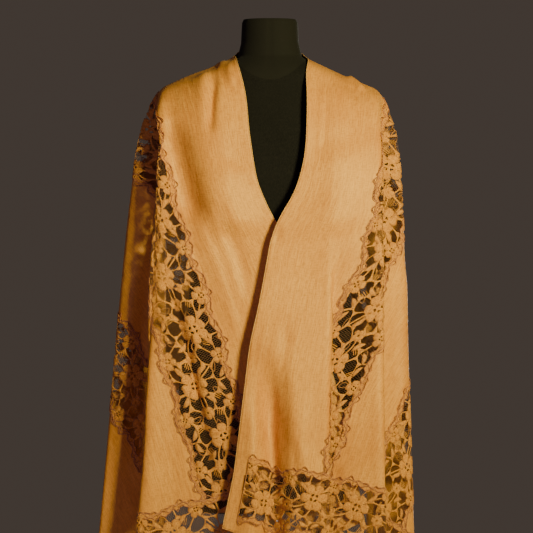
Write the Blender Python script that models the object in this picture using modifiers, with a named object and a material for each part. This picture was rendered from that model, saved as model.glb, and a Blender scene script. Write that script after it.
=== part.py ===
"""Lace shawl worn open over a limbless dress form on a plain round stand.

The shawl is one rectangle of woven cloth with bands of lace let into it. It is laid out flat first,
in (along, across) metres: along runs down the long edge from the centre back, across runs from the
neck edge to the hem. Each cloth piece is cut from that flat sheet, and drape() then carries its
points over the shoulders and down the folds.

World frame: metres, +Z up, the front faces -Y, the wearer's left is +X. The origin is the centre
of the stand's flat underside.
"""
import math

import bmesh
import bpy
import numpy as np
from mathutils import Vector
from mathutils.geometry import delaunay_2d_cdt

# ---------------------------------------------------------------- driving dimensions
CLOTH_LENGTH = 2.10
CLOTH_WIDTH = 0.74
WALL = 0.0015                 # thickness of the cloth wall
SEAM_GAP = 0.0003             # space between two pieces at a seam
SELVEDGE = 0.026              # plain woven border past the ends of the end bands
BAND_WIDTH = 0.107            # one lace band, edge to edge
LACE_REPEAT = 0.19            # length of one repeat along a band
LIFT = 0.0023                 # space kept between the form and the cloth's points

# Flat places on the cloth, for the wearer's side u > 0.
NECK_ALONG = 0.105            # where the long edge passes the side of the neck
TIP_ALONG = 0.180             # what rests on the shoulder tip
TIP_ACROSS = {"left": 0.140, "right": 0.145}
NEAR_FALL = {"left": 0.98, "right": 0.92}     # cloth for each metre of fall at the panel's ridge
FULL_FALL_TURN = 0.60         # radians round the tip where the cloth falls its full length
BACK_LEVEL_DROP = 0.15        # drop by which the rows across the back run level
SIDE_SLACK = {"left": 0.35, "right": 0.0}     # how much less full the cloth is just past the panel
# Radians round the shoulder tip that the front panel takes, at each drop.
PANEL_TURN_COLUMNS = ("drop", "left", "right")
PANEL_TURN = (
    (0.00, 0.22, 0.35),
    (0.38, 0.22, 0.35),
    (0.50, 0.29, 0.35),
    (0.62, 0.34, 0.35),
    (1.25, 0.34, 0.35),
)

# Lace bands, by the flat place of the edge nearer the neck or the centre.
UPPER_BAND = 0.178
LOWER_BAND = CLOTH_WIDTH - UPPER_BAND - BAND_WIDTH
END_BAND = 0.915

# World places of the shoulder line, for +X.
NECK_SIDE = np.array((0.071, 0.004, 1.431))
SHOULDER_TIP = np.array((0.195, 0.006, 1.376))
NAPE = np.array((0.0, 0.076, 1.450))
SHOULDER_LENGTH = float(np.linalg.norm(SHOULDER_TIP - NECK_SIDE))
SHOULDER_LOWER = {"left": 0.0050, "right": 0.0010}      # how much lower each side hangs

# Front edges: world X of the long edge at each drop below the neck point, along the cloth.
FRONT_EDGE = (
    # drop, left_x, right_x
    (0.00, 0.070, -0.064),
    (0.06, 0.067, -0.054),
    (0.12, 0.069, -0.044),
    (0.18, 0.068, -0.039),
    (0.23, 0.065, -0.032),
    (0.27, 0.056, -0.026),
    (0.30, 0.047, -0.016),
    (0.33, 0.032, -0.004),
    (0.36, 0.016, 0.010),
    (0.40, 0.001, 0.034),
    (0.46, -0.009, 0.056),
    (0.53, -0.022, 0.080),
    (0.60, -0.038, 0.100),
    (0.70, -0.050, 0.126),
    (0.84, -0.067, 0.158),
    (0.95, -0.090, 0.177),
    (1.10, -0.104, 0.185),
)

# The pleat in the left front panel: world X of its outer edge and of the fold hidden behind it,
# and how far behind the panel each of the two hidden layers lies.
PLEAT = (
    # drop, edge_x, under_x, depth
    (0.00, 0.126, 0.146, 0.000),
    (0.36, 0.112, 0.128, 0.001),
    (0.50, 0.114, 0.108, 0.006),
    (0.62, 0.108, 0.086, 0.008),
    (0.80, 0.104, 0.066, 0.009),
    (1.00, 0.108, 0.064, 0.010),
    (1.25, 0.112, 0.068, 0.010),
)
PLEAT_FULL_DEPTH = 0.006      # depth from which the pleat's layers lie flat on each other
PLEAT_EASE = 0.006            # how far apart in X its turns are where it has no depth
PLEAT_LAYERS = {"pleat_edge": 0.0, "pleat_turn": 1.0, "pleat_under": 1.2, "pleat_return": 2.2}

# Folds, in order from the front edge round the side to the centre back. start is the place on the
# shoulder line (0 neck, 1 tip). Each fold line leaves it and moves out and back as it falls:
# spread is what it gains near the shoulder, flare what it gains for each metre of drop.
FOLDS = {
    # fold, start, spread_x, flare_x, spread_y, flare_y
    "left": (
        ("front_edge", 0.0, 0.0, 0.0, -0.132, -0.012),
        ("front_middle", 0.30, -0.010, -0.010, -0.131, -0.010),
        ("pleat_edge", 0.46, 0.0, 0.0, -0.131, -0.012),
        ("pleat_turn", 0.50, 0.0, 0.0, -0.131, -0.012),
        ("pleat_under", 0.58, 0.0, 0.0, -0.131, -0.012),
        ("pleat_return", 0.62, 0.0, 0.0, -0.131, -0.012),
        ("panel_outer", 0.84, 0.002, 0.004, -0.124, -0.004),
        ("panel_ridge", 1.0, 0.012, 0.008, -0.114, -0.012),
        ("valley_front", 1.0, 0.004, -0.006, -0.070, -0.004),
        ("roll_front", 1.0, 0.047, 0.034, -0.026, 0.002),
        ("valley_side", 1.0, -0.014, 0.002, 0.022, 0.012),
        ("roll_side", 1.0, 0.026, 0.052, 0.060, 0.020),
        ("valley_back", 1.0, -0.024, -0.006, 0.096, 0.012),
        ("roll_back", 0.75, -0.012, 0.020, 0.118, 0.084),
        ("valley_spine", 0.40, -0.034, 0.010, 0.102, 0.012),
        ("neck_back", 0.0, -0.016, 0.004, 0.112, 0.018),
    ),
    "right": (
        ("front_edge", 0.0, 0.0, 0.0, -0.114, 0.000),
        ("front_middle", 0.45, -0.010, 0.0, -0.115, 0.000),
        ("panel_outer", 0.80, 0.004, 0.004, -0.116, -0.004),
        ("panel_ridge", 1.0, 0.014, 0.044, -0.110, -0.012),
        ("valley_front", 1.0, 0.000, 0.002, -0.048, 0.014),
        ("roll_front", 1.0, 0.047, 0.093, -0.022, -0.006),
        ("valley_side", 1.0, 0.000, 0.016, 0.030, 0.026),
        ("roll_side", 1.0, 0.030, 0.076, 0.068, 0.030),
        ("valley_back", 1.0, -0.024, -0.006, 0.100, 0.014),
        ("roll_back", 0.75, -0.014, 0.018, 0.119, 0.084),
        ("valley_spine", 0.40, -0.034, 0.010, 0.102, 0.012),
        ("neck_back", 0.0, -0.016, 0.004, 0.112, 0.018),
    ),
}
CENTRE_BACK = (0.046, 0.020)  # spread_y and flare_y of the line below the nape
SPREAD_DROP = (0.044, 0.100)  # drop over which the spread is gained, in X and in Y
STEEPEST = 0.20               # least fall for each metre of cloth, squared
# Above this drop the folds round the shoulder tip ease into one rounded cone of these half sizes.
FOLD_START_DROP = 0.15
TIP_ROUND = (0.037, 0.120)

# The dress form, from the neck's flat top down to its flat underside.
FORM = (
    # z, half_width, half_depth, centre_y
    (1.500, 0.0500, 0.0500, 0.012),
    (1.494, 0.0530, 0.0530, 0.012),
    (1.455, 0.0550, 0.0550, 0.012),
    (1.430, 0.0610, 0.0590, 0.012),
    (1.420, 0.0740, 0.0630, 0.010),
    (1.408, 0.0980, 0.0670, 0.008),
    (1.396, 0.1220, 0.0690, 0.006),
    (1.384, 0.1460, 0.0700, 0.005),
    (1.372, 0.1670, 0.0710, 0.004),
    (1.358, 0.1820, 0.0740, 0.003),
    (1.335, 0.1870, 0.0800, 0.002),
    (1.290, 0.1820, 0.0910, -0.002),
    (1.200, 0.1710, 0.0980, -0.006),
    (1.110, 0.1570, 0.0930, -0.003),
    (1.020, 0.1490, 0.0890, 0.000),
    (0.930, 0.1580, 0.0990, 0.004),
    (0.830, 0.1720, 0.1100, 0.006),
    (0.740, 0.1730, 0.1090, 0.006),
    (0.640, 0.1660, 0.1030, 0.006),
    (0.590, 0.1600, 0.0980, 0.006),
    (0.570, 0.1500, 0.0900, 0.006),
)
FORM_ROUNDNESS = 2.25         # exponent of the form's rounded sections
FORM_SIDES = 32

POLE_RADIUS = 0.014
BASE_RADIUS = 0.165
BASE_HEIGHT = 0.020
STAND_GAP = 0.0003

# Lace gaps in one repeat: place along it (0 to 1), place across the band (-1 to 1), half sizes.
GAPS = (
    # along, across, half_length, half_width, turn
    (0.00, -0.50, 0.0120, 0.0085, 0.5),
    (0.00, 0.02, 0.0125, 0.0080, 0.0),
    (0.00, 0.52, 0.0120, 0.0085, -0.5),
    (0.25, 0.42, 0.0135, 0.0110, 0.2),
    (0.50, 0.50, 0.0120, 0.0085, -0.5),
    (0.50, -0.02, 0.0125, 0.0080, 0.0),
    (0.50, -0.52, 0.0120, 0.0085, 0.5),
    (0.75, -0.42, 0.0135, 0.0110, -0.2),
)
GAP_CORNERS = 6
GAP_MARGIN = 0.006            # least lace left round a gap

SEAM_STEP = 0.024             # spacing of points along seams and edges
DROP_STEPS = (0.0, 0.01, 0.02, 0.03, 0.05, 0.07, 0.10, 0.13, 0.16, 0.20, 0.27, 0.35, 0.43, 0.47, 0.51,
              0.55, 0.59, 0.68, 0.77, 0.86, 0.95, 1.04)
GRID_STEP = 0.036             # spacing of the other points across the folds
NEAR_GRID_STEP = 0.020        # the same on the shoulder
GRID_CLEAR = 0.006            # least distance from a grid point to a seam or gap
FOLD_CLEAR = 0.0025           # the same for a point on a fold
PLEAT_CLEAR = 0.016           # least distance from a gap's centre to a turn of the pleat
PLEAT_START = 0.47            # drop from which the pleat's turns are edges of the cloth walls
FOLD_LINE_START = 0.07        # the same for the other folds
MERGE = 0.0015                # pattern points nearer than this become one

ROW_STEP = 0.01               # fineness of the table that drape() reads
ROW_COUNT = 125
FRONT_CELLS = 32
SIDE_CELLS = 160
CURVE_STEPS = 16
EDGE_EASING = 4               # rows over which the corners of the tables above are eased
PLEAT_EASING = 6

COLOURS = {
    "cloth": ((0.62, 0.33, 0.10), 0.85, 0.0),
    "lace": ((0.66, 0.38, 0.14), 0.80, 0.0),
    "form": ((0.012, 0.012, 0.014), 0.75, 0.0),
    "stand": ((0.05, 0.05, 0.055), 0.35, 1.0),
}


# ---------------------------------------------------------------- the dress form's surface
def form_section(z):
    """Half-width, half-depth and centre of the form at heights z."""
    table = np.array(FORM)[::-1]
    return [np.interp(z, table[:, 0], table[:, column]) for column in (1, 2, 3)]


def form_reach(points):
    """How far out points lie: 1 on the form's surface, more outside it."""
    half_width, half_depth, centre = form_section(points[..., 2])
    x = np.abs(points[..., 0] / half_width)
    y = np.abs((points[..., 1] - centre) / half_depth)
    return (x ** FORM_ROUNDNESS + y ** FORM_ROUNDNESS + 1e-12) ** (1.0 / FORM_ROUNDNESS)


def outside_form(points, passes=3, step=0.001):
    """The same points, those inside the form or too near to it moved straight out of it."""
    moved = points.copy()
    for _ in range(passes):
        reach = form_reach(moved)
        slope = np.empty_like(moved)
        for axis in range(3):
            shift = np.zeros(3)
            shift[axis] = step
            slope[..., axis] = (form_reach(moved + shift) - form_reach(moved - shift)) / (2 * step)
        steepness = np.linalg.norm(slope, axis=-1)
        short = np.maximum(LIFT - (reach - 1.0) / steepness, 0.0)
        in_range = (moved[..., 2] < FORM[0][0]) & (moved[..., 2] > FORM[-1][0])
        moved += slope * (np.where(in_range, short, 0.0) / steepness)[..., None]
    return moved


# ---------------------------------------------------------------- how the cloth hangs
def curve_between(start, end, start_slope, end_slope, t):
    """A point on the smooth curve from start to end."""
    return (start * (1 + 2 * t) * (1 - t) ** 2 + start_slope * t * (1 - t) ** 2
            + end * t * t * (3 - 2 * t) - end_slope * t * t * (1 - t))


def curve_slopes(guides):
    """Slope of the curve at each guide, no longer than the nearer stretch beside it."""
    reach = np.linalg.norm(np.diff(guides, axis=0), axis=-1, keepdims=True)
    shorter = np.minimum(reach[1:], reach[:-1])
    across = (guides[2:] - guides[:-2]) / 2
    size = np.linalg.norm(across, axis=-1, keepdims=True)
    inner = across * np.minimum(1.0, shorter / np.maximum(size, 1e-9))
    return np.concatenate((guides[1:2] - guides[:1], inner, guides[-1:] - guides[-2:-1]))


def falling_track(x, y, top):
    """Points of a fold line, from its level places at each row; the cloth is not stretched."""
    slope = np.gradient(x, ROW_STEP) ** 2 + np.gradient(y, ROW_STEP) ** 2
    fall = np.sqrt(np.maximum(1.0 - slope, STEEPEST)) * ROW_STEP
    z = top - np.concatenate(([0.0], np.cumsum(0.5 * (fall[1:] + fall[:-1]))))
    return np.stack((x, y, z), axis=1)


def smooth_column(table, column, reach):
    """One column of a table by drop, at every row, with its corners eased over reach rows each way."""
    rows = np.array(table)
    values = np.interp(np.arange(ROW_COUNT) * ROW_STEP, rows[:, 0], rows[:, column])
    easing = np.hanning(2 * reach + 1) / np.hanning(2 * reach + 1).sum()
    values[reach:-reach] = np.convolve(values, easing, mode="valid")
    return values


def fold_tracks(side):
    """World points of each fold line of one side, [fold, row, xyz]."""
    drop = np.arange(ROW_COUNT) * ROW_STEP
    gained_x = 1.0 - np.exp(-drop / SPREAD_DROP[0])
    gained_y = 1.0 - np.exp(-drop / SPREAD_DROP[1])
    sign = 1.0 if side == "left" else -1.0
    edge_x = smooth_column(FRONT_EDGE, 1 if side == "left" else 2, EDGE_EASING) * sign
    pleat_edge, pleat_under, pleat_depth = (smooth_column(PLEAT, k, PLEAT_EASING) for k in (1, 2, 3))
    untucked = PLEAT_EASE * (1.0 - np.clip(pleat_depth / PLEAT_FULL_DEPTH, 0.0, 1.0))
    given = {"front_edge": edge_x, "pleat_edge": pleat_edge, "pleat_turn": pleat_edge + untucked,
             "pleat_under": pleat_under - untucked, "pleat_return": pleat_under}
    tracks = []
    for name, start, spread_x, flare_x, spread_y, flare_y in FOLDS[side]:
        top = NECK_SIDE + (SHOULDER_TIP - NECK_SIDE) * start
        x = top[0] + spread_x * gained_x + flare_x * drop
        if start == 1.0:
            rounded = TIP_ROUND[0] * math.sqrt(1.0 - (spread_y / TIP_ROUND[1]) ** 2)
            t = np.clip(drop / FOLD_START_DROP, 0.0, 1.0)
            x = x + (rounded - spread_x) * (1.0 - t * t * (3.0 - 2.0 * t)) * gained_x
        if name in given:
            x = given[name]
        elif name == "front_middle":
            x = x + (edge_x - edge_x[0]) * 0.5
        y = top[1] + spread_y * gained_y + flare_y * drop
        y = y + pleat_depth * PLEAT_LAYERS.get(name, 0.0)
        tracks.append(falling_track(x * sign, y, top[2] - SHOULDER_LOWER[side]))
    return tracks


def centre_track():
    """World points down the centre back, [row, xyz]."""
    drop = np.arange(ROW_COUNT) * ROW_STEP
    spread_y, flare_y = CENTRE_BACK
    y = NAPE[1] + spread_y * (1.0 - np.exp(-drop / SPREAD_DROP[1])) + flare_y * drop
    return falling_track(drop * 0.0, y, NAPE[2])


def even_points(curve, count):
    """The curve's points moved along it so that they are evenly spaced, [row, count + 1, xyz]."""
    steps = np.linalg.norm(np.diff(curve, axis=1), axis=2)
    length = np.concatenate((np.zeros((len(curve), 1)), np.cumsum(steps, axis=1)), axis=1)
    out = np.empty((len(curve), count + 1, 3))
    for row in range(len(curve)):
        wanted = np.linspace(0.0, length[row, -1], count + 1)
        for axis in range(3):
            out[row, :, axis] = np.interp(wanted, length[row], curve[row, :, axis])
    return out


def arc_places(curve, first, last):
    """Share of the curve's length, in each row, at each fold line from first to last."""
    steps = np.linalg.norm(np.diff(curve[:, first:last + 1], axis=1), axis=2)
    length = np.concatenate((np.zeros((len(curve), 1)), np.cumsum(steps, axis=1)), axis=1)
    return length[:, ::CURVE_STEPS] / length[:, -1:]


def drape_table():
    """For each side, world points [row, column] from the front edge, and the folds' columns."""
    left = fold_tracks("left")
    right = fold_tracks("right")
    section = np.array(left + [centre_track()] + right[::-1])
    slopes = curve_slopes(section)
    t = (np.arange(CURVE_STEPS) / CURVE_STEPS)[:, None, None]
    stretches = [curve_between(section[k], section[k + 1], slopes[k], slopes[k + 1], t)
                 for k in range(len(section) - 1)]
    curve = np.concatenate(stretches + [section[-1:]]).transpose(1, 0, 2)
    middle = len(left) * CURVE_STEPS
    halves = {"left": curve[:, :middle + 1], "right": curve[:, middle:][:, ::-1]}
    table = {}
    columns = {}
    for side, half in halves.items():
        ridge = [row[0] for row in FOLDS[side]].index("panel_ridge") * CURVE_STEPS
        front = even_points(half[:, :ridge + 1], FRONT_CELLS)
        rest = even_points(half[:, ridge:], SIDE_CELLS)
        table[side] = outside_form(np.concatenate((front, rest[:, 1:]), axis=1))
        front_folds = FRONT_CELLS * arc_places(half, 0, ridge)
        rest_folds = FRONT_CELLS + SIDE_CELLS * arc_places(half, ridge, half.shape[1] - 1)
        columns[side] = np.concatenate((front_folds, rest_folds[:, 1:]), axis=1)
    return table, columns


TABLE, FOLD_PLACES = drape_table()


def panel_turn(side, drop):
    """Radians round the shoulder tip that the front panel takes."""
    rows = np.array(PANEL_TURN)
    return np.interp(drop, rows[:, 0], rows[:, PANEL_TURN_COLUMNS.index(side)])


def fall_share(side, angle, turn):
    """Cloth for each metre of fall, at an angle round the shoulder tip."""
    near = NEAR_FALL[side]
    t = np.clip((angle - turn) / (FULL_FALL_TURN - turn), 0.0, 1.0)
    return near + (1.0 - near) * t * t * (3.0 - 2.0 * t)


def panel_corner(side, drop):
    """Flat place of the front panel's ridge at a drop."""
    turn = panel_turn(side, drop)
    reach = NEAR_FALL[side] * drop
    return TIP_ALONG + reach * np.cos(turn), TIP_ACROSS[side] + reach * np.sin(turn)


def front_place(side, u, v):
    """Drop and share of the way round the front panel, for flat places on it."""
    drop = np.maximum(u - NECK_ALONG, 0.0)
    for _ in range(30):
        corner_u, corner_v = panel_corner(side, drop)
        share = np.clip(v / corner_v, 0.0, 1.0)
        wanted = np.maximum(u - share * (corner_u - NECK_ALONG - drop) - NECK_ALONG, 0.0)
        drop = 0.5 * drop + 0.5 * wanted
    return drop, share


def back_row(side, u, drop):
    """How far down the back, on the flat, the row of a drop starts at u."""
    across = TIP_ACROSS[side]
    at_neck = across * np.clip((u - NECK_ALONG) / (TIP_ALONG - NECK_ALONG), 0.0, 1.0)
    level = across * (u / TIP_ALONG) ** 2
    t = np.clip(drop / BACK_LEVEL_DROP, 0.0, 1.0)
    return at_neck + (level - at_neck) * t * t * (3.0 - 2.0 * t)


def back_reach(u, drop):
    """How far along the row of a drop a flat place on the back lies from the shoulder tip."""
    on_shoulder = np.clip((TIP_ALONG - u) / (TIP_ALONG - NECK_ALONG), 0.0, 1.0)
    near = SHOULDER_LENGTH * on_shoulder + np.maximum(NECK_ALONG - u, 0.0)
    t = np.clip(drop / BACK_LEVEL_DROP, 0.0, 1.0)
    return near + (TIP_ALONG - u - near) * t * t * (3.0 - 2.0 * t)


def eased_share(side, drop, share):
    """Share of the row's folds passed, where the cloth is less full near the front of the side."""
    t = np.clip(drop / BACK_LEVEL_DROP, 0.0, 1.0)
    slack = SIDE_SLACK[side] * t * t * (3.0 - 2.0 * t)
    return share + slack * share * (1.0 - share) ** 2


def back_drop(side, u, v):
    """Drop of flat places on the back."""
    drop = np.maximum(v - back_row(side, u, 0.0), 0.0)
    for _ in range(40):
        drop = 0.5 * drop + 0.5 * np.maximum(v - back_row(side, u, drop), 0.0)
    return drop


def drape_place(side, u, v):
    """Drop and table column of flat places on one side of the centre back (u >= 0)."""
    across = TIP_ACROSS[side]
    reach = np.hypot(u - TIP_ALONG, v - across)
    angle = np.arctan2(v - across, u - TIP_ALONG)
    turn = panel_turn(side, reach)
    line_u = NECK_ALONG + (TIP_ALONG - NECK_ALONG) * np.clip(v / across, 0.0, 1.0)
    is_front = np.where(v < across, u >= line_u, (angle < turn) & (u > TIP_ALONG))
    is_back = ~is_front & (u < TIP_ALONG)
    front_drop, front_share = front_place(side, u, v)
    side_drop = reach / fall_share(side, angle, turn)
    drop = np.where(is_front, front_drop, np.where(is_back, back_drop(side, u, v), side_drop))
    corner = (0.5 * math.pi - panel_turn(side, drop)) * drop
    passed = np.where(is_back, corner + back_reach(np.minimum(u, TIP_ALONG), drop),
                      np.clip(angle - turn, 0.0, 0.5 * math.pi - turn) * drop)
    share = eased_share(side, drop, passed / (corner + back_reach(0.0, drop)))
    column = np.where(is_front, FRONT_CELLS * front_share, FRONT_CELLS + SIDE_CELLS * share)
    return drop, column


def drape_side(side, u, v):
    """World points for flat places on one side of the centre back (u >= 0)."""
    drop, column = drape_place(side, u, v)
    row = np.clip(drop / ROW_STEP, 0.0, ROW_COUNT - 1.001)
    column = np.clip(column, 0.0, FRONT_CELLS + SIDE_CELLS - 0.001)
    i = row.astype(int)
    j = column.astype(int)
    a = (row - i)[:, None]
    b = (column - j)[:, None]
    grid = TABLE[side]
    return ((1 - a) * (1 - b) * grid[i, j] + (1 - a) * b * grid[i, j + 1]
            + a * (1 - b) * grid[i + 1, j] + a * b * grid[i + 1, j + 1])


def drape(flat):
    """World points for flat places [n, 2]; u < 0 is the wearer's right."""
    u = flat[:, 0]
    v = flat[:, 1]
    left = drape_side("left", np.abs(u), v)
    right = drape_side("right", np.abs(u), v)
    return np.where((u >= 0)[:, None], left, right)


def hang(flat, faces, passes=6):
    """World points and outward normals of the pattern's points, its faces clear of the form."""
    points = drape(flat)
    for _ in range(passes):
        for a, b in ((0, 1), (1, 2), (2, 0)):
            middle = (points[faces[:, a]] + points[faces[:, b]]) / 2
            move = outside_form(middle, 1) - middle
            order = np.argsort(np.linalg.norm(move, axis=1))
            for corner in (a, b):
                pushed = np.zeros_like(points)
                pushed[faces[order, corner]] = move[order]
                points = points + pushed * 0.5
    across = np.cross(points[faces[:, 1]] - points[faces[:, 0]],
                      points[faces[:, 2]] - points[faces[:, 0]])
    across /= np.linalg.norm(across, axis=1, keepdims=True)
    normals = np.zeros_like(points)
    for corner in range(3):
        before = points[faces[:, corner - 1]] - points[faces[:, corner]]
        after = points[faces[:, (corner + 1) % 3]] - points[faces[:, corner]]
        lengths = np.linalg.norm(before, axis=1) * np.linalg.norm(after, axis=1)
        turn = np.arccos(np.clip((before * after).sum(axis=1) / lengths, -1.0, 1.0))
        np.add.at(normals, faces[:, corner], -across * turn[:, None])
    return points, normals / np.linalg.norm(normals, axis=1, keepdims=True)


# ---------------------------------------------------------------- the flat pattern
def rectangle(low, high):
    """Corners of the flat rectangle between two corners, counter-clockwise."""
    return [np.array(p) for p in (low, (high[0], low[1]), high, (low[0], high[1]))]


def lace_bands():
    """Name, middle line and outline of each lace band at u > 0."""
    middle = BAND_WIDTH / 2
    bands = []
    for name, edge in (("upper", UPPER_BAND), ("lower", LOWER_BAND)):
        line = ((0.0, edge + middle), (END_BAND, edge + middle))
        bands.append((name, line, rectangle((0.0, edge), (END_BAND, edge + BAND_WIDTH))))
    line = ((END_BAND + middle, SELVEDGE), (END_BAND + middle, CLOTH_WIDTH - SELVEDGE))
    bands.append(("end", line, rectangle((END_BAND, SELVEDGE),
                                         (END_BAND + BAND_WIDTH, CLOTH_WIDTH - SELVEDGE))))
    return bands


def inside(outline, point, margin=0.0):
    """True where the point is in the flat rectangle, at least margin from each side."""
    low = np.min(outline, axis=0) + margin
    high = np.max(outline, axis=0) - margin
    return bool(np.all(point >= low) and np.all(point <= high))


def band_gaps(line, outline):
    """Outlines of the gaps of one band, in whole repeats from the middle of its line."""
    start, end = np.array(line)
    length = np.linalg.norm(end - start)
    along = (end - start) / length
    side = np.array((-along[1], along[0]))
    repeats = math.ceil(length / LACE_REPEAT / 2) + 1
    loops = []
    for repeat in range(-repeats, repeats):
        for place, across, half_length, half_width, turn in GAPS:
            distance = (repeat + place) * LACE_REPEAT
            centre = (start + end) / 2 + along * distance + side * across * BAND_WIDTH / 2
            if not inside(outline, centre, max(half_length, half_width) + GAP_MARGIN):
                continue
            loop = []
            for corner in range(GAP_CORNERS):
                angle = 2.0 * math.pi * corner / GAP_CORNERS
                a = half_length * math.cos(angle)
                b = half_width * math.sin(angle)
                c = math.cos(turn)
                s = math.sin(turn)
                loop.append(centre + along * (a * c - b * s) + side * (a * s + b * c))
            loops.append(loop)
    return loops


class Pattern:
    """Points and seam lines of the flat sheet, ready to be filled with triangles."""

    def __init__(self):
        self.points = []
        self.lines = []
        self.keys = {}

    def add_point(self, point):
        key = (round(float(point[0]), 5), round(float(point[1]), 5))
        if key not in self.keys:
            self.keys[key] = len(self.points)
            self.points.append(Vector(key))
        return self.keys[key]

    def add_line(self, start, end, step=SEAM_STEP):
        count = max(1, math.ceil(np.linalg.norm(np.array(end) - start) / step))
        path = [np.array(start) + (np.array(end) - start) * k / count for k in range(count + 1)]
        indices = [self.add_point(point) for point in path]
        self.lines += [pair for pair in zip(indices, indices[1:]) if pair[0] != pair[1]]

    def add_loop(self, loop, step=SEAM_STEP):
        for start, end in zip(loop, loop[1:] + loop[:1]):
            self.add_line(start, end, step)


def mirrored(loop):
    return [np.array((-point[0], point[1])) for point in loop]


def flat_place(side, drop, column):
    """The flat place, as if u > 0, that hangs at a drop and a table column."""
    if column <= FRONT_CELLS:
        corner_u, corner_v = panel_corner(side, drop)
        share = column / FRONT_CELLS
        start = NECK_ALONG + drop
        return start + (corner_u - start) * share, corner_v * share
    turn = float(panel_turn(side, drop))
    corner = (0.5 * math.pi - turn) * drop
    shares = np.linspace(0.0, 1.0, 401)
    share = np.interp((column - FRONT_CELLS) / SIDE_CELLS, eased_share(side, drop, shares), shares)
    passed = (corner + float(back_reach(0.0, drop))) * float(share)
    if passed < corner:
        angle = turn + passed / drop
        reach = drop * float(fall_share(side, angle, turn))
        return TIP_ALONG + reach * math.cos(angle), TIP_ACROSS[side] + reach * math.sin(angle)
    along = np.linspace(TIP_ALONG, 0.0, 91)
    u = float(np.interp(passed - corner, back_reach(along, drop), along))
    return u, float(back_row(side, u, drop)) + drop


def side_grid(side):
    """Flat places on every fold line of one side and evenly between them, as if u > 0."""
    places = []
    for drop in DROP_STEPS:
        row = TABLE[side][round(drop / ROW_STEP)]
        steps = np.linalg.norm(np.diff(row, axis=0), axis=1)
        length = np.concatenate(([0.0], np.cumsum(steps)))
        folds = FOLD_PLACES[side][round(drop / ROW_STEP)]
        step = min(GRID_STEP, NEAR_GRID_STEP + 0.1 * drop)
        for start, end in zip(folds, folds[1:]):
            reach = float(np.diff(np.interp((start, end), np.arange(len(row)), length))[0])
            count = max(1, round(reach / step))
            places += [flat_place(side, drop, start + (end - start) * k / count)
                       for k in range(count)]
        places.append(flat_place(side, drop, folds[-1]))
    return places


def grid_points():
    """Flat places of both sides that lie on the cloth."""
    places = side_grid("left") + [(-u, v) for u, v in side_grid("right") if u > 0]
    half = CLOTH_LENGTH / 2 - GRID_CLEAR
    return [p for p in places if abs(p[0]) < half and GRID_CLEAR < p[1] < CLOTH_WIDTH - GRID_CLEAR]


def distance_to_lines(point, starts, ends):
    """Least distance from a point to a set of segments."""
    along = ends - starts
    t = ((point - starts) * along).sum(axis=1) / np.maximum((along ** 2).sum(axis=1), 1e-12)
    nearest = starts + along * np.clip(t, 0.0, 1.0)[:, None]
    return np.linalg.norm(nearest - point, axis=1).min()


def fold_lines(side):
    """Flat polylines along the folds of one side, cut off at the cloth's edges, as if u > 0."""
    names = [row[0] for row in FOLDS[side]]
    high = np.array((CLOTH_LENGTH / 2, CLOTH_WIDTH))
    paths = []
    for index, name in enumerate(names):
        first = PLEAT_START if name in PLEAT_LAYERS else FOLD_LINE_START
        if index <= names.index("panel_ridge") and name not in ("panel_ridge", *PLEAT_LAYERS):
            continue
        path = []
        for drop in DROP_STEPS:
            if drop < first:
                continue
            column = FOLD_PLACES[side][round(drop / ROW_STEP)][index]
            place = np.array(flat_place(side, drop, column))
            if np.any(place > high):
                if path:
                    step = place - path[-1]
                    path.append(path[-1] + step * ((high - path[-1]) / np.maximum(step, 1e-9)).min())
                break
            path.append(place)
        paths.append((name, path))
    return paths


def cut_pattern():
    """The flat sheet in triangles: points, regions between the seams, gaps, lace outlines."""
    pattern = Pattern()
    half = CLOTH_LENGTH / 2
    pattern.add_loop([np.array(p) for p in ((-half, 0.0), (half, 0.0), (half, CLOTH_WIDTH),
                                            (-half, CLOTH_WIDTH))])
    folds = []
    for side, turn in (("left", list), ("right", mirrored)):
        folds += [(name, turn(path)) for name, path in fold_lines(side)]
    pleats = [(start, end) for name, path in folds if name in PLEAT_LAYERS
              for start, end in zip(path, path[1:])]
    pleat_ends = [np.array([line[k] for line in pleats]) for k in (0, 1)]
    gaps = []
    lace_outlines = {}
    for name, line, outline in lace_bands():
        loops = band_gaps(line, outline)
        for side, turn in (("left", list), ("right", mirrored)):
            pattern.add_loop(turn(outline))
            turned = [turn(loop) for loop in loops]
            gaps += [loop for loop in turned
                     if distance_to_lines(sum(loop) / len(loop), *pleat_ends) > PLEAT_CLEAR]
            lace_outlines[f"lace_{side}_{name}"] = turn(outline)
    # Plain seams that part each end's narrow border from the neck and hem strips.
    for turn in (list, mirrored):
        for edge, border in ((0.0, SELVEDGE), (CLOTH_WIDTH, CLOTH_WIDTH - SELVEDGE)):
            pattern.add_line(*turn([np.array((END_BAND, edge)), np.array((END_BAND, border))]))
    for loop in gaps:
        pattern.add_loop(loop, step=1.0)
    seam_count = len(pattern.lines)
    starts = np.array([pattern.points[a] for a, b in pattern.lines])
    ends = np.array([pattern.points[b] for a, b in pattern.lines])
    for _, path in folds:
        kept = [place for place in path[:-1]
                if distance_to_lines(place, starts, ends) > FOLD_CLEAR] + path[-1:]
        for start, end in zip(kept, kept[1:]):
            pattern.add_line(start, end, step=1.0)
    for place in grid_points():
        if distance_to_lines(np.array(place), starts, ends) > GRID_CLEAR:
            pattern.add_point(place)
    points, edges, faces, _, edge_sources, _ = delaunay_2d_cdt(
        pattern.points, pattern.lines, [], 0, MERGE, True)
    faces = [tuple(face) for face in faces]
    seams = {frozenset(edge) for edge, source in zip(edges, edge_sources)
             if any(line < seam_count for line in source)}
    flat = np.array([tuple(point) for point in points])
    return flat, split_at_seams(faces, seams), gaps, lace_outlines


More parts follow.
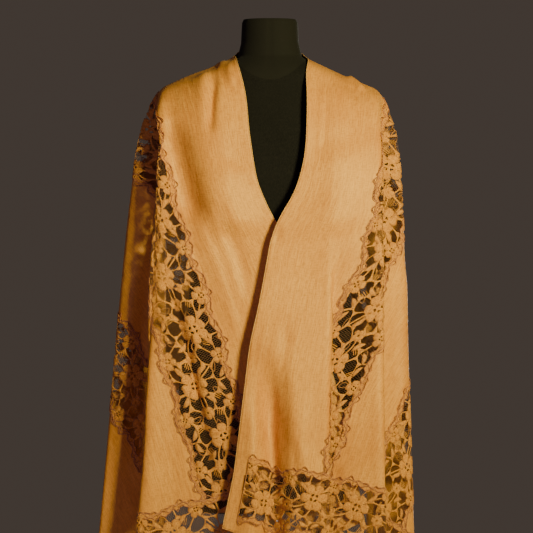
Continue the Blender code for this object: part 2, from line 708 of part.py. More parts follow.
def split_at_seams(faces, seams):
    """Groups of triangles that are joined without crossing a seam."""
    users = {}
    for index, face in enumerate(faces):
        for a, b in zip(face, face[1:] + face[:1]):
            users.setdefault(frozenset((a, b)), []).append(index)
    group = [-1] * len(faces)
    groups = []
    for first in range(len(faces)):
        if group[first] >= 0:
            continue
        group[first] = len(groups)
        found = [first]
        for index in found:
            face = faces[index]
            for a, b in zip(face, face[1:] + face[:1]):
                edge = frozenset((a, b))
                if edge in seams:
                    continue
                for other in users[edge]:
                    if group[other] < 0:
                        group[other] = len(groups)
                        found.append(other)
        groups.append([faces[index] for index in found])
    return groups


GROUND_SEEDS = {
    "ground_neck": (0.0, 0.07),
    "ground_middle": (0.0, 0.36),
    "ground_hem": (0.0, 0.65),
    "ground_left_end": (CLOTH_LENGTH / 2 - 0.02, 0.36),
    "ground_right_end": (0.02 - CLOTH_LENGTH / 2, 0.36),
}


def in_triangle(point, a, b, c):
    signs = [(q[0] - p[0]) * (point[1] - p[1]) - (q[1] - p[1]) * (point[0] - p[0])
             for p, q in ((a, b), (b, c), (c, a))]
    return min(signs) >= 0 or max(signs) <= 0


def name_pieces(flat, regions, gaps, lace_outlines):
    """The regions that are cloth, by name; the gaps are left out."""
    pieces = {}
    for region in regions:
        corners = [flat[list(face)] for face in region]
        largest = max(corners, key=lambda t: abs(np.cross(t[1] - t[0], t[2] - t[0])))
        middle = largest.mean(axis=0)
        if any(point_in_outline(middle, loop) for loop in gaps):
            continue
        for name, outline in lace_outlines.items():
            if point_in_outline(middle, outline):
                pieces.setdefault(name, []).extend(region)
                break
        else:
            for name, seed in GROUND_SEEDS.items():
                if any(in_triangle(seed, *triangle) for triangle in corners):
                    pieces[name] = region
    return pieces


def point_in_outline(point, outline):
    """True where a level line from the point crosses the outline an odd number of times."""
    crossings = 0
    for start, end in zip(outline, outline[1:] + outline[:1]):
        if (start[1] > point[1]) != (end[1] > point[1]):
            x = start[0] + (end[0] - start[0]) * (point[1] - start[1]) / (end[1] - start[1])
            crossings += x > point[0]
    return crossings % 2 == 1


# ---------------------------------------------------------------- cloth walls
def rim_edges(faces):
    """Directed edges of the piece that have one triangle."""
    directed = {(a, b) for face in faces for a, b in zip(face, face[1:] + face[:1])}
    return sorted(edge for edge in directed if (edge[1], edge[0]) not in directed)


def drawn_in(points, normals, rim, distance):
    """The points, those on the rim moved along the cloth into the piece by the distance."""
    moves = {}
    for a, b in rim:
        along = points[b] - points[a]
        for index in (a, b):
            inward = np.cross(along, normals[index])
            moves.setdefault(index, []).append(inward / np.linalg.norm(inward))
    moved = points.copy()
    for index, directions in moves.items():
        total = sum(directions)
        scale = max(float(total @ total) / len(directions), 0.5)
        moved[index] = points[index] + total * distance / scale
    return moved


def cloth_wall(name, points, normals, faces, collection, material):
    """One closed wall from the piece's triangles on the hung cloth."""
    rim = rim_edges(faces)
    used = sorted({index for face in faces for index in face})
    small = {index: k for k, index in enumerate(used)}
    inner = drawn_in(points, normals, rim, SEAM_GAP / 2)[used]
    outer = inner + normals[used] * WALL
    model = bmesh.new()
    inner_verts = [model.verts.new(point) for point in inner]
    outer_verts = [model.verts.new(point) for point in outer]
    for face in faces:
        a, b, c = (small[index] for index in face)
        model.faces.new((outer_verts[c], outer_verts[b], outer_verts[a]))
        model.faces.new((inner_verts[a], inner_verts[b], inner_verts[c]))
    for a, b in rim:
        # Both pieces at a seam split its quads along the same diagonal.
        p, q = small[a], small[b]
        if a < b:
            model.faces.new((inner_verts[q], inner_verts[p], outer_verts[q]))
            model.faces.new((inner_verts[p], outer_verts[p], outer_verts[q]))
        else:
            model.faces.new((inner_verts[q], inner_verts[p], outer_verts[p]))
            model.faces.new((inner_verts[q], outer_verts[p], outer_verts[q]))
    return finish(name, model, collection, material)


def finish(name, model, collection, material):
    """A named object from the bmesh."""
    mesh = bpy.data.meshes.new(name)
    model.to_mesh(mesh)
    model.free()
    mesh.materials.append(material)
    mesh.shade_smooth()
    piece = bpy.data.objects.new(name, mesh)
    collection.objects.link(piece)
    return piece


# ---------------------------------------------------------------- form and stand
def make_form(collection, material):
    """The solid form: a loft through its rounded sections, flat at the neck and underneath."""
    model = bmesh.new()
    rings = []
    for z, half_width, half_depth, centre in FORM:
        ring = []
        for k in range(FORM_SIDES):
            angle = 2.0 * math.pi * k / FORM_SIDES
            c = math.cos(angle)
            s = math.sin(angle)
            power = 2.0 / FORM_ROUNDNESS
            x = half_width * math.copysign(abs(c) ** power, c)
            y = half_depth * math.copysign(abs(s) ** power, s) + centre
            ring.append(model.verts.new((x, y, z)))
        rings.append(ring)
    for upper, lower in zip(rings, rings[1:]):
        for k in range(FORM_SIDES):
            n = (k + 1) % FORM_SIDES
            model.faces.new((lower[k], lower[n], upper[n], upper[k]))
    model.faces.new(rings[0])
    model.faces.new(rings[-1][::-1])
    return finish("dress_form", model, collection, material)


def make_turned(name, profile, sides, collection, material):
    """A solid turned about Z from a profile of (radius, z), from the top down."""
    mesh = bpy.data.meshes.new(name)
    mesh.from_pydata([(radius, 0.0, z) for radius, z in profile],
                     [(k, k + 1) for k in range(len(profile) - 1)], [])
    mesh.materials.append(material)
    piece = bpy.data.objects.new(name, mesh)
    collection.objects.link(piece)
    screw = piece.modifiers.new("turn", "SCREW")
    screw.steps = sides
    screw.render_steps = sides
    screw.use_merge_vertices = True
    screw.merge_threshold = 0.0001
    return piece


def make_material(name):
    colour, roughness, metallic = COLOURS[name]
    material = bpy.data.materials.new(name)
    material.use_nodes = True
    shader = material.node_tree.nodes["Principled BSDF"]
    shader.inputs["Base Color"].default_value = (*colour, 1.0)
    shader.inputs["Roughness"].default_value = roughness
    shader.inputs["Metallic"].default_value = metallic
    return material


def main():
    for item in list(bpy.data.objects):
        bpy.data.objects.remove(item)
    shawl = bpy.data.collections.new("lace_shawl")
    bpy.context.scene.collection.children.link(shawl)
    materials = {name: make_material(name) for name in COLOURS}
    make_form(shawl, materials["form"])
    form_bottom = FORM[-1][0]
    make_turned("pole", [(0.0, form_bottom - STAND_GAP), (POLE_RADIUS, form_bottom - STAND_GAP),
                         (POLE_RADIUS, BASE_HEIGHT + STAND_GAP), (0.0, BASE_HEIGHT + STAND_GAP)],
                24, shawl, materials["stand"])
    edge = 0.006
    make_turned("base", [(0.0, BASE_HEIGHT), (BASE_RADIUS - edge, BASE_HEIGHT),
                         (BASE_RADIUS - 0.3 * edge, BASE_HEIGHT - 0.3 * edge),
                         (BASE_RADIUS, BASE_HEIGHT - edge), (BASE_RADIUS, 0.0), (0.0, 0.0)],
                48, shawl, materials["stand"])
    flat, regions, gaps, lace_outlines = cut_pattern()
    points, normals = hang(flat, np.array([face for region in regions for face in region]))
    for name, faces in sorted(name_pieces(flat, regions, gaps, lace_outlines).items()):
        material = materials["lace" if name.startswith("lace") else "cloth"]
        cloth_wall(name, points, normals, faces, shawl, material)


main()
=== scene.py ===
"""Looks of a lace shawl worn open over a limbless dress form on a plain round stand.

Metres, +Z up, the front faces -Y and the wearer's left is +X. The shawl is one rectangle: a flat
place is (along, across), along from the centre back and across from the neck edge to the hem.
Sheet carries flat places onto the hung cloth, and the ground cloth, the lace and its cords are all
made flat and laid on it.
"""

import math
from functools import partial

import bmesh
import bpy
import numpy as np
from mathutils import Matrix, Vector
from mathutils.geometry import delaunay_2d_cdt

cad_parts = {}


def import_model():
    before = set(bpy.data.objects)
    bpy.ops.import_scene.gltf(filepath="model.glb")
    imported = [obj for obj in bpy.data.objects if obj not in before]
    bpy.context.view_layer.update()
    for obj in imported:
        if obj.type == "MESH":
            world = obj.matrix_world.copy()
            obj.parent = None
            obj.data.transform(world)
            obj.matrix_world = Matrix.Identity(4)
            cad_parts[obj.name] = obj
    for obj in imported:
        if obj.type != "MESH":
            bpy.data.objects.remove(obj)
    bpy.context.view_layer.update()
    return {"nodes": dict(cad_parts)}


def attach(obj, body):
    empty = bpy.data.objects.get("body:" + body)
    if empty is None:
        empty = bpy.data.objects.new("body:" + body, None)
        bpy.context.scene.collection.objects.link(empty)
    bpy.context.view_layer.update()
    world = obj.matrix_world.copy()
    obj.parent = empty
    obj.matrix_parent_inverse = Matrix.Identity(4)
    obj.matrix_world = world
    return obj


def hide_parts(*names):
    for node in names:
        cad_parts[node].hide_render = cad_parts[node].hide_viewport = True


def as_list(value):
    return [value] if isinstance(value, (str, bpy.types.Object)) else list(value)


# ---------------------------------------------------------------- sizes of the cloth
CLOTH_LENGTH = 2.10
CLOTH_WIDTH = 0.74
SELVEDGE = 0.026
BAND_WIDTH = 0.107
LACE_REPEAT = 0.19
LONG_REPEATS = 5                    # repeats that a long band's half length takes
END_REPEATS = 4
SHIFTS = [np.array((repeats * LACE_REPEAT, 0.0)) for repeats in (-1, 0, 1)]
UPPER_BAND = 0.178
LOWER_BAND = CLOTH_WIDTH - UPPER_BAND - BAND_WIDTH
END_BAND = 0.915
HALF_BAND = BAND_WIDTH / 2

GROUND_THICK = (0.0003, 0.0011)     # inner and outer face of the ground cloth over the hung sheet
LACE_THICK = (0.0012, 0.0018)
END_LACE_THICK = (0.0015, 0.0021)
GROUND_GRID = 0.00588               # between the points of the ground cloth's mesh
SHEET_GRID = 0.005                  # between the points of the hung sheet

# ---------------------------------------------------------------- how the cloth hangs
LIFT = 0.0026                       # least distance from the form to the sheet
NECK_ALONG = 0.105                  # along at the shoulder's inner end, on the neck edge
TIP_ALONG = 0.180                   # along and across at the shoulder tip
TIP_ACROSS = {"left": 0.140, "right": 0.145}
NEAR_FALL = {"left": 0.98, "right": 0.92}   # fall for each metre of cloth beside the front panel
FULL_FALL_TURN = 0.60               # radians round the tip past which all of the cloth is fall
BACK_LEVEL_DROP = 0.15              # drop in which the back's rows become level
SIDE_SLACK = {"left": 0.35, "right": 0.0}   # fullness moved away from the front of the side
# Radians round the shoulder tip that the front panel takes: drop, left, right.
PANEL_TURN_COLUMNS = ("drop", "left", "right")
PANEL_TURN = (
    (0.00, 0.22, 0.35),
    (0.38, 0.22, 0.35),
    (0.50, 0.29, 0.35),
    (0.62, 0.34, 0.35),
    (1.25, 0.34, 0.35),
)
NECK_SIDE = np.array((0.071, 0.004, 1.431))
SHOULDER_TIP = np.array((0.195, 0.006, 1.376))
NAPE = np.array((0.0, 0.076, 1.450))
SHOULDER_LENGTH = float(np.linalg.norm(SHOULDER_TIP - NECK_SIDE))
SHOULDER_LOWER = {"left": 0.0050, "right": 0.0010}      # how much lower each side hangs
# Front edges: drop, left_x, right_x.
FRONT_EDGE = (
    (0.00, 0.070, -0.064),
    (0.06, 0.067, -0.054),
    (0.12, 0.069, -0.044),
    (0.18, 0.068, -0.039),
    (0.23, 0.065, -0.032),
    (0.27, 0.056, -0.026),
    (0.30, 0.047, -0.016),
    (0.33, 0.032, -0.004),
    (0.36, 0.016, 0.010),
    (0.40, 0.001, 0.034),
    (0.46, -0.009, 0.056),
    (0.53, -0.022, 0.080),
    (0.60, -0.038, 0.100),
    (0.70, -0.050, 0.126),
    (0.84, -0.067, 0.158),
    (0.95, -0.090, 0.177),
    (1.10, -0.104, 0.185),
)
# The pleat in the left panel: drop, edge_x, under_x, depth.
PLEAT = (
    (0.00, 0.126, 0.146, 0.000),
    (0.36, 0.112, 0.128, 0.001),
    (0.50, 0.114, 0.108, 0.006),
    (0.62, 0.108, 0.086, 0.008),
    (0.80, 0.104, 0.066, 0.009),
    (1.00, 0.108, 0.064, 0.010),
    (1.25, 0.112, 0.068, 0.010),
)
PLEAT_FULL_DEPTH = 0.006
PLEAT_EASE = 0.006
PLEAT_LAYERS = {"pleat_edge": 0.0, "pleat_turn": 1.0, "pleat_under": 1.2, "pleat_return": 2.2}
# Fold lines from the front edge to the centre back: start, spread_x, flare_x, spread_y, flare_y.
FOLDS = {
    "left": (
        ("front_edge", 0.0, 0.0, 0.0, -0.132, -0.012),
        ("front_middle", 0.30, -0.010, -0.010, -0.131, -0.010),
        ("pleat_edge", 0.46, 0.0, 0.0, -0.131, -0.012),
        ("pleat_turn", 0.50, 0.0, 0.0, -0.131, -0.012),
        ("pleat_under", 0.58, 0.0, 0.0, -0.131, -0.012),
        ("pleat_return", 0.62, 0.0, 0.0, -0.131, -0.012),
        ("panel_outer", 0.84, 0.002, 0.004, -0.124, -0.004),
        ("panel_ridge", 1.0, 0.012, 0.008, -0.114, -0.012),
        ("valley_front", 1.0, 0.004, -0.006, -0.070, -0.004),
        ("roll_front", 1.0, 0.047, 0.034, -0.026, 0.002),
        ("valley_side", 1.0, -0.014, 0.002, 0.022, 0.012),
        ("roll_side", 1.0, 0.026, 0.052, 0.060, 0.020),
        ("valley_back", 1.0, -0.024, -0.006, 0.096, 0.012),
        ("roll_back", 0.75, -0.012, 0.020, 0.118, 0.084),
        ("valley_spine", 0.40, -0.034, 0.010, 0.102, 0.012),
        ("neck_back", 0.0, -0.016, 0.004, 0.112, 0.018),
    ),
    "right": (
        ("front_edge", 0.0, 0.0, 0.0, -0.114, 0.000),
        ("front_middle", 0.45, -0.010, 0.0, -0.115, 0.000),
        ("panel_outer", 0.80, 0.004, 0.004, -0.116, -0.004),
        ("panel_ridge", 1.0, 0.014, 0.044, -0.110, -0.012),
        ("valley_front", 1.0, 0.000, 0.002, -0.048, 0.014),
        ("roll_front", 1.0, 0.047, 0.093, -0.022, -0.006),
        ("valley_side", 1.0, 0.000, 0.016, 0.030, 0.026),
        ("roll_side", 1.0, 0.030, 0.076, 0.068, 0.030),
        ("valley_back", 1.0, -0.024, -0.006, 0.100, 0.014),
        ("roll_back", 0.75, -0.014, 0.018, 0.119, 0.084),
        ("valley_spine", 0.40, -0.034, 0.010, 0.102, 0.012),
        ("neck_back", 0.0, -0.016, 0.004, 0.112, 0.018),
    ),
}
CENTRE_BACK = (0.046, 0.020)        # spread_y and flare_y of the centre back
SPREAD_DROP = (0.044, 0.100)        # drops that set how soon folds gain their spread, in x and y
STEEPEST = 0.20                     # least part of a fold line's squared step that is fall
FOLD_START_DROP = 0.15              # drop in which a fold grows out of the rounded tip
TIP_ROUND = (0.037, 0.120)          # how far the rounded tip reaches in x and y

ROW_STEP = 0.005                    # drop between rows of the hung cloth
ROW_COUNT = 250
FRONT_CELLS = 96                    # columns of the front panel, and of the rest to the centre back
SIDE_CELLS = 320
CURVE_STEPS = 20                    # places on the curve from one fold line to the next
SHEET_EASING = 4                    # rounds that take the corners off the folds
EASING_PULLS = (0.60, -0.63)        # in, and out again so that the folds keep their size
EDGE_EASING = 8                     # rows over which a table's corners are eased
PLEAT_EASING = 12

# Creases in the cloth: flat path, half width, height (below 0 is a dent).
# Each fades out over CREASE_FADE of its length at both ends.
CREASES = (
    (((-0.143, 0.015), (-0.168, 0.017), (-0.198, 0.021)), 0.0045, 0.0040),
    (((-0.140, 0.030), (-0.170, 0.032), (-0.205, 0.036)), 0.0050, -0.0030),
    (((-0.130, 0.036), (-0.203, 0.057), (-0.237, 0.068), (-0.300, 0.082)), 0.0065, -0.0135),
    (((-0.160, 0.060), (-0.210, 0.078), (-0.250, 0.090)), 0.0080, 0.0030),
    (((-0.228, 0.147), (-0.263, 0.150), (-0.295, 0.152)), 0.0090, -0.0045),
    (((-0.262, 0.165), (-0.310, 0.161), (-0.375, 0.154), (-0.455, 0.146)), 0.0310, -0.0240),
    (((-0.140, 0.045), (-0.240, 0.075), (-0.340, 0.085), (-0.500, 0.090)), 0.0500, 0.0150),
    (((-0.220, 0.150), (-0.300, 0.172), (-0.400, 0.190)), 0.0160, 0.0060),
    (((-0.410, 0.138), (-0.500, 0.138), (-0.600, 0.143), (-0.675, 0.150)), 0.0100, 0.0030),
    (((-0.520, 0.236), (-0.637, 0.238), (-0.778, 0.247), (-0.920, 0.266)), 0.0085, -0.0110),
    (((-0.520, 0.219), (-0.650, 0.221), (-0.820, 0.238)), 0.0080, 0.0040),
    (((-0.520, 0.250), (-0.652, 0.260), (-0.830, 0.278)), 0.0080, 0.0035),
    (((-0.387, 0.088), (-0.480, 0.092), (-0.590, 0.103)), 0.0110, -0.0030),
    (((-0.430, 0.112), (-0.520, 0.116), (-0.610, 0.124)), 0.0080, 0.0022),
    (((-0.440, 0.166), (-0.558, 0.172), (-0.640, 0.176)), 0.0080, -0.0028),
    (((-0.800, 0.273), (-0.840, 0.283), (-0.885, 0.290)), 0.0060, -0.0030),
    (((-0.790, 0.255), (-0.840, 0.265), (-0.890, 0.272)), 0.0080, 0.0022),
    (((-0.230, 0.165), (-0.330, 0.203), (-0.383, 0.220), (-0.485, 0.247), (-0.593, 0.288),
      (-0.658, 0.322), (-0.728, 0.352), (-0.833, 0.387), (-0.930, 0.421)), 0.0120, -0.0105),
    (((-0.330, 0.050), (-0.400, 0.070), (-0.480, 0.086)), 0.0450, 0.0080),
    (((-0.300, 0.265), (-0.398, 0.340), (-0.505, 0.425), (-0.650, 0.530), (-0.800, 0.640)),
     0.0190, 0.0100),
    (((0.172, 0.012), (0.228, 0.009), (0.288, 0.008), (0.345, 0.009)), 0.0024, -0.0010),
    (((0.183, 0.027), (0.247, 0.022), (0.315, 0.022), (0.382, 0.023)), 0.0032, -0.0014),
    (((0.190, 0.036), (0.260, 0.034), (0.330, 0.032)), 0.0040, 0.0012),
    (((0.203, 0.046), (0.265, 0.043), (0.345, 0.040)), 0.0036, -0.0012),
    (((0.474, 0.002), (0.492, 0.006), (0.512, 0.015)), 0.0050, -0.0025),
    (((0.300, 0.070), (0.400, 0.095), (0.500, 0.115)), 0.0650, 0.0070),
    (((0.560, 0.060), (0.860, 0.080), (1.250, 0.130)), 0.0800, 0.0140),
    (((0.700, 0.046), (0.812, 0.056), (0.907, 0.073), (0.970, 0.087), (1.200, 0.130)),
     0.0250, -0.0360),
    (((0.740, 0.104), (0.900, 0.122), (1.200, 0.165)), 0.0240, 0.0080),
    (((0.780, 0.026), (0.900, 0.034), (1.080, 0.056)), 0.0160, 0.0060),
    (((0.740, 0.052), (0.845, 0.068), (0.907, 0.080), (0.968, 0.100), (1.040, 0.112)),
     0.0060, -0.0035),
    (((0.740, 0.078), (0.858, 0.093), (0.910, 0.105), (0.975, 0.115), (1.040, 0.124)),
     0.0060, -0.0030),
    (((0.800, 0.060), (0.870, 0.082), (0.930, 0.094), (1.000, 0.108)), 0.0045, 0.0030),
    (((0.838, 0.102), (0.923, 0.123), (1.010, 0.150)), 0.0070, -0.0060),
    (((0.835, 0.042), (0.895, 0.055), (0.955, 0.073)), 0.0080, 0.0040),
    (((0.850, 0.128), (0.923, 0.150), (1.000, 0.176)), 0.0120, 0.0040),
    (((0.640, 0.062), (0.720, 0.070), (0.790, 0.080)), 0.0090, -0.0028),
    (((0.880, 0.288), (0.920, 0.300), (0.975, 0.312)), 0.0110, -0.0045),
    (((0.150, 0.082), (0.178, 0.104), (0.205, 0.122)), 0.0060, 0.0080),
    (((-0.116, 0.024), (-0.132, 0.030), (-0.170, 0.038)), 0.0080, 0.0050),
    (((0.165, 0.080), (0.200, 0.098), (0.235, 0.114)), 0.0070, -0.0035),
    (((0.463, 0.295), (0.589, 0.375), (0.725, 0.478)), 0.0130, 0.0035),
)
CREASE_FADE = 0.25
DEEPEST = 0.030                     # most that creases move the cloth

# ---------------------------------------------------------------- the dress form
FORM = (
    # z, half_width, half_depth, centre_y
    (1.500, 0.0500, 0.0500, 0.012),
    (1.494, 0.0530, 0.0530, 0.012),
    (1.455, 0.0550, 0.0550, 0.012),
    (1.430, 0.0610, 0.0590, 0.012),
    (1.420, 0.0740, 0.0630, 0.010),
    (1.408, 0.0980, 0.0670, 0.008),
    (1.396, 0.1220, 0.0690, 0.006),
    (1.384, 0.1460, 0.0700, 0.005),
    (1.372, 0.1670, 0.0710, 0.004),
    (1.358, 0.1820, 0.0740, 0.003),
    (1.335, 0.1870, 0.0800, 0.002),
    (1.290, 0.1820, 0.0910, -0.002),
    (1.200, 0.1710, 0.0980, -0.006),
    (1.110, 0.1570, 0.0930, -0.003),
    (1.020, 0.1490, 0.0890, 0.000),
    (0.930, 0.1580, 0.0990, 0.004),
    (0.830, 0.1720, 0.1100, 0.006),
    (0.740, 0.1730, 0.1090, 0.006),
    (0.640, 0.1660, 0.1030, 0.006),
    (0.590, 0.1600, 0.0980, 0.006),
    (0.570, 0.1500, 0.0900, 0.006),
)
FORM_ROUNDNESS = 2.25
NECK_SEAM = (1.383, 8.7)            # its height at the centre, and its rise with x squared
FORM_RINGS = (1.4995, 0.7205, 0.006)    # evenly spaced rings of the cover: top, lowest, step
FORM_SIDES = 96
SEAM_DEPTH = 0.0009
SEAM_WIDTHS = (0.0022, 0.003)       # of the front seam and the neck's

# ---------------------------------------------------------------- lace motif, one repeat
WAVE = (0.0045, 0.0034)             # deep and small waves of the lace's border
BORDER_STEPS = 80                   # straight lines that make a repeat's length of border
BORDER_RIBBON = 0.0070
# Wavy cords along each border: offset from it, sway, waves in a repeat, turn.
BORDER_CORDS = (
    (0.0032, 0.0, 0, 0.0),
    (0.0060, 0.0034, 7, 0.4),
    (0.0020, 0.0048, 5, 2.0),
    (-0.0030, 0.0030, 9, 1.1),
)
BORDER_EYELETS = 9
BIG_WAVES = 2
SCALLOPS = 8
WAVE_TURN = {"low": 0.6, "high": 2.5}
# along, across, reach, petals, turn
FLOWERS = (
    (0.042, 0.013, 0.0250, 6, 0.2),
    (0.137, -0.014, 0.0255, 6, 0.5),
    (0.091, 0.047, 0.0165, 5, 0.1),
    (0.003, -0.046, 0.0170, 5, 0.9),
    (0.178, 0.046, 0.0150, 5, 1.4),
    (0.086, -0.045, 0.0150, 5, 0.4),
    (0.090, 0.004, 0.0110, 5, 0.7),
    (0.183, 0.002, 0.0115, 5, 0.0),
)
BIG_FLOWER = 0.014                  # a flower that reaches further has slits, not an eyelet
# Slits, in shares of the flower's reach: away from its middle, length, width; then their lean.
HEART_SLITS = (0.25, 0.25, 0.15, 0.5 * math.pi)
PETAL_SLITS = (0.56, 0.16, 0.040, 0.0)
EYE = 0.16                          # radius of the eyelet, as a share of the flower's reach
# along, across, length, width, turn
LEAVES = (
    (0.070, 0.030, 0.024, 0.0085, 0.6),
    (0.066, -0.008, 0.023, 0.0080, -0.9),
    (0.018, 0.036, 0.022, 0.0080, 2.5),
    (0.014, -0.010, 0.022, 0.0080, -2.3),
    (0.110, 0.016, 0.024, 0.0085, 2.2),
    (0.112, -0.034, 0.021, 0.0075, -2.4),
    (0.162, -0.036, 0.023, 0.0080, -0.8),
    (0.163, 0.012, 0.023, 0.0085, 0.9),
    (0.128, 0.034, 0.022, 0.0080, 0.4),
    (0.150, 0.038, 0.020, 0.0075, 2.7),
    (0.036, -0.036, 0.022, 0.0080, 0.5),
    (0.058, -0.040, 0.020, 0.0075, 2.6),
)
# Curved stems: three flat places each.
STEMS = (
    ((0.044, 0.010), (0.066, -0.018), (0.088, -0.040)),
    ((0.044, 0.016), (0.068, 0.038), (0.090, 0.046)),
    ((0.136, -0.014), (0.112, 0.010), (0.092, 0.004)),
    ((0.138, -0.012), (0.160, 0.022), (0.178, 0.046)),
    ((0.138, -0.016), (0.166, -0.034), (0.193, -0.046)),
    ((0.040, 0.012), (0.018, -0.004), (-0.007, 0.002)),
)
# Open loops of thin line, as leaves: along, across, length, width, turn.
LOOPS = (
    (0.062, 0.016, 0.020, 0.0100, 1.3),
    (0.024, 0.022, 0.018, 0.0085, 0.2),
    (0.108, -0.010, 0.020, 0.0095, -0.5),
    (0.120, 0.030, 0.019, 0.0090, 1.1),
    (0.160, -0.014, 0.019, 0.0090, 0.3),
    (0.030, -0.026, 0.018, 0.0090, 1.0),
    (0.070, -0.030, 0.019, 0.0090, -0.2),
    (0.176, 0.026, 0.018, 0.0085, 1.8),
)
# Short parallel lines across openings: along, across, turn, lines.
HATCHES = (
    (0.020, -0.022, 0.9, 3),
    (0.078, 0.014, -0.6, 4),
    (0.116, 0.014, 0.5, 3),
    (0.158, 0.026, -1.1, 4),
    (0.112, -0.030, 1.2, 3),
    (0.182, -0.020, -0.3, 4),
)
LINE = 0.0013                       # width of loops and of short lines
STEM_WIDTH = 0.0026
HATCH_PITCH = 0.0034
HATCH_REACH = (0.0075, 0.0012)      # half a hatch's middle line, and how much less each next one
# How far each form stands out of the lace, and from how far in it is at its full height.
RISE = {"flower": 0.0009, "leaf": 0.0006, "border": 0.0006}
RISE_EASING = 0.003
EYELET_SIDES = 6
EYELET = (0.0011, 0.0012)           # radius of a border's eyelet, and its inset from the edge
OPENINGS_SEED = 11
OPENING_SIZE = (0.0270, 0.0205)     # usual opening and its bar, along and across the band
OPENINGS_REACH = 0.075              # they are shared out this far from the band's middle
OPENINGS_KEPT = 0.066               # those whose seed is further out are left out
OPENING_CORNER = 0.10               # and so are those with a corner further out
OPENING_LEAST = 0.3                 # and those that would fill less of their cell than this
FLOWER_CLEAR = 0.86                 # share of a flower's reach in which no opening starts
SEED_SAMPLES = 6000
SEED_ROUNDS = (8, 0.7)              # rounds that space the seeds out, and the share moved in each
BAR = (0.0017, 0.0038)              # least and greatest width of a bar between openings
RIM = 0.0040                        # closed strip inside the lace's border
JUNCTION_EASING = 0.02              # beside a long band, an end band's wave grows over this
LACE_GRID = 0.0052                  # between the points inside the lace's closed forms
LACE_GRID_REACH = 0.068             # and how far they go from the band's middle
LACE_MERGE = 0.00022                # points of a repeat's lines this near become one
REPEAT_TOP = 0.08                   # half the height of a repeat's straight sides
REPEAT_NEAR = 0.004                 # forms this near to a repeat are drawn in it too
JOIN_DISTANCE = 0.00003             # points of two repeats this near become one

# ---------------------------------------------------------------- cords, net and edge
CORD_SIDES = 3
CORD_LIFT = 0.0004                  # of a cord's middle over the lace
CORD_RADIUS = {"border": 0.0007, "shade": 0.0006, "flower": 0.0005}
CROSS_CORD_REACH = HALF_BAND + 0.004    # half the cord across each end of an end band
PAINTED_SHADOW_AWAY = 0.0016                 # from a border's cord to the dark cord beside it, which is a painted shadow of that cord
NET_PITCH = 0.0036                  # between the net's threads, which cross in two directions
NET_SLANT = math.radians(57.0)
NET_LIFT = 0.0007
NET_RADIUS = 0.00017
NET_INSET = 0.001                   # of the net's ends from the lace's border
EDGE_INSET = 0.0004
EDGE_LIFT = 0.0008
EDGE_RADIUS = 0.0009

# ---------------------------------------------------------------- light and camera
WORLD = ((0.86, 0.68, 0.56, 1.0), 0.07)     # colour and strength
# name, place, aim, size, power, colour, spread in degrees
LIGHTS = (
    ("key", (1.92, -3.20, 1.80), (0.06, -0.10, 1.20), 0.75, 18.9, (1.0, 0.93, 0.45), 48.0),
    ("fill", (-1.2, -3.4, 1.3), (0.0, 0.0, 1.0), 1.8, 15.0, (0.86, 0.50, 1.0), 180.0),
    ("back", (0.9, 3.0, 0.9), (0.0, 0.0, 1.1), 1.6, 50.0, (1.0, 0.95, 0.90), 180.0),
)
CAMERA_DISTANCE = 6.5               # from the camera to the plane that it frames
VIEW_CENTRE = (-0.0066, -0.04, 1.0328)
VIEW_WIDTH = 1.002                  # of what it frames in that plane
SENSOR_WIDTH = 36.0                 # millimetres


# ---------------------------------------------------------------- the hung sheet
def level_ends(t):
    """From 0 to 1 as t goes from 0 to 1, starting and ending level."""
    return t * t * (3.0 - 2.0 * t)


def eased_up(value, full):
    """From 0 to 1 as the value goes from 0 to full, starting and ending level."""
    return level_ends(np.clip(value / full, 0.0, 1.0))


def form_section(z):
    """Half width, half depth and centre of the form at each height."""
    table = np.array(FORM)[::-1]
    return [np.interp(z, table[:, 0], table[:, column]) for column in (1, 2, 3)]


def form_reach(points):
    """How far out points lie: 1 on the form's surface, more outside it."""
    half_width, half_depth, centre = form_section(points[..., 2])
    x = np.abs(points[..., 0] / half_width)
    y = np.abs((points[..., 1] - centre) / half_depth)
    return (x ** FORM_ROUNDNESS + y ** FORM_ROUNDNESS + 1e-12) ** (1.0 / FORM_ROUNDNESS)


def outside_form(points, passes=3, step=0.001):
    """The same points, those inside the form or too near to it moved straight out of it."""
    moved = points.copy()
    for _ in range(passes):
        reach = form_reach(moved)
        slope = np.empty_like(moved)
        for axis in range(3):
            shift = np.zeros(3)
            shift[axis] = step
            slope[..., axis] = (form_reach(moved + shift) - form_reach(moved - shift)) / (2 * step)
        steepness = np.linalg.norm(slope, axis=-1)
        short = np.maximum(LIFT - (reach - 1.0) / steepness, 0.0)
        in_range = (moved[..., 2] < FORM[0][0]) & (moved[..., 2] > FORM[-1][0])
        moved += slope * (np.where(in_range, short, 0.0) / steepness)[..., None]
    return moved


def curve_between(start, end, start_slope, end_slope, t):
    """Places on the curve from start to end that leaves and arrives along the slopes."""
    return (start * (1 + 2 * t) * (1 - t) ** 2 + start_slope * t * (1 - t) ** 2
            + end * t * t * (3 - 2 * t) - end_slope * t * t * (1 - t))


def curve_slopes(guides):
    """Slope of the curve at each guide, no longer than the nearer stretch beside it."""
    reach = np.linalg.norm(np.diff(guides, axis=0), axis=-1, keepdims=True)
    shorter = np.minimum(reach[1:], reach[:-1])
    across = (guides[2:] - guides[:-2]) / 2
    size = np.linalg.norm(across, axis=-1, keepdims=True)
    inner = across * np.minimum(1.0, shorter / np.maximum(size, 1e-9))
    return np.concatenate((guides[1:2] - guides[:1], inner, guides[-1:] - guides[-2:-1]))


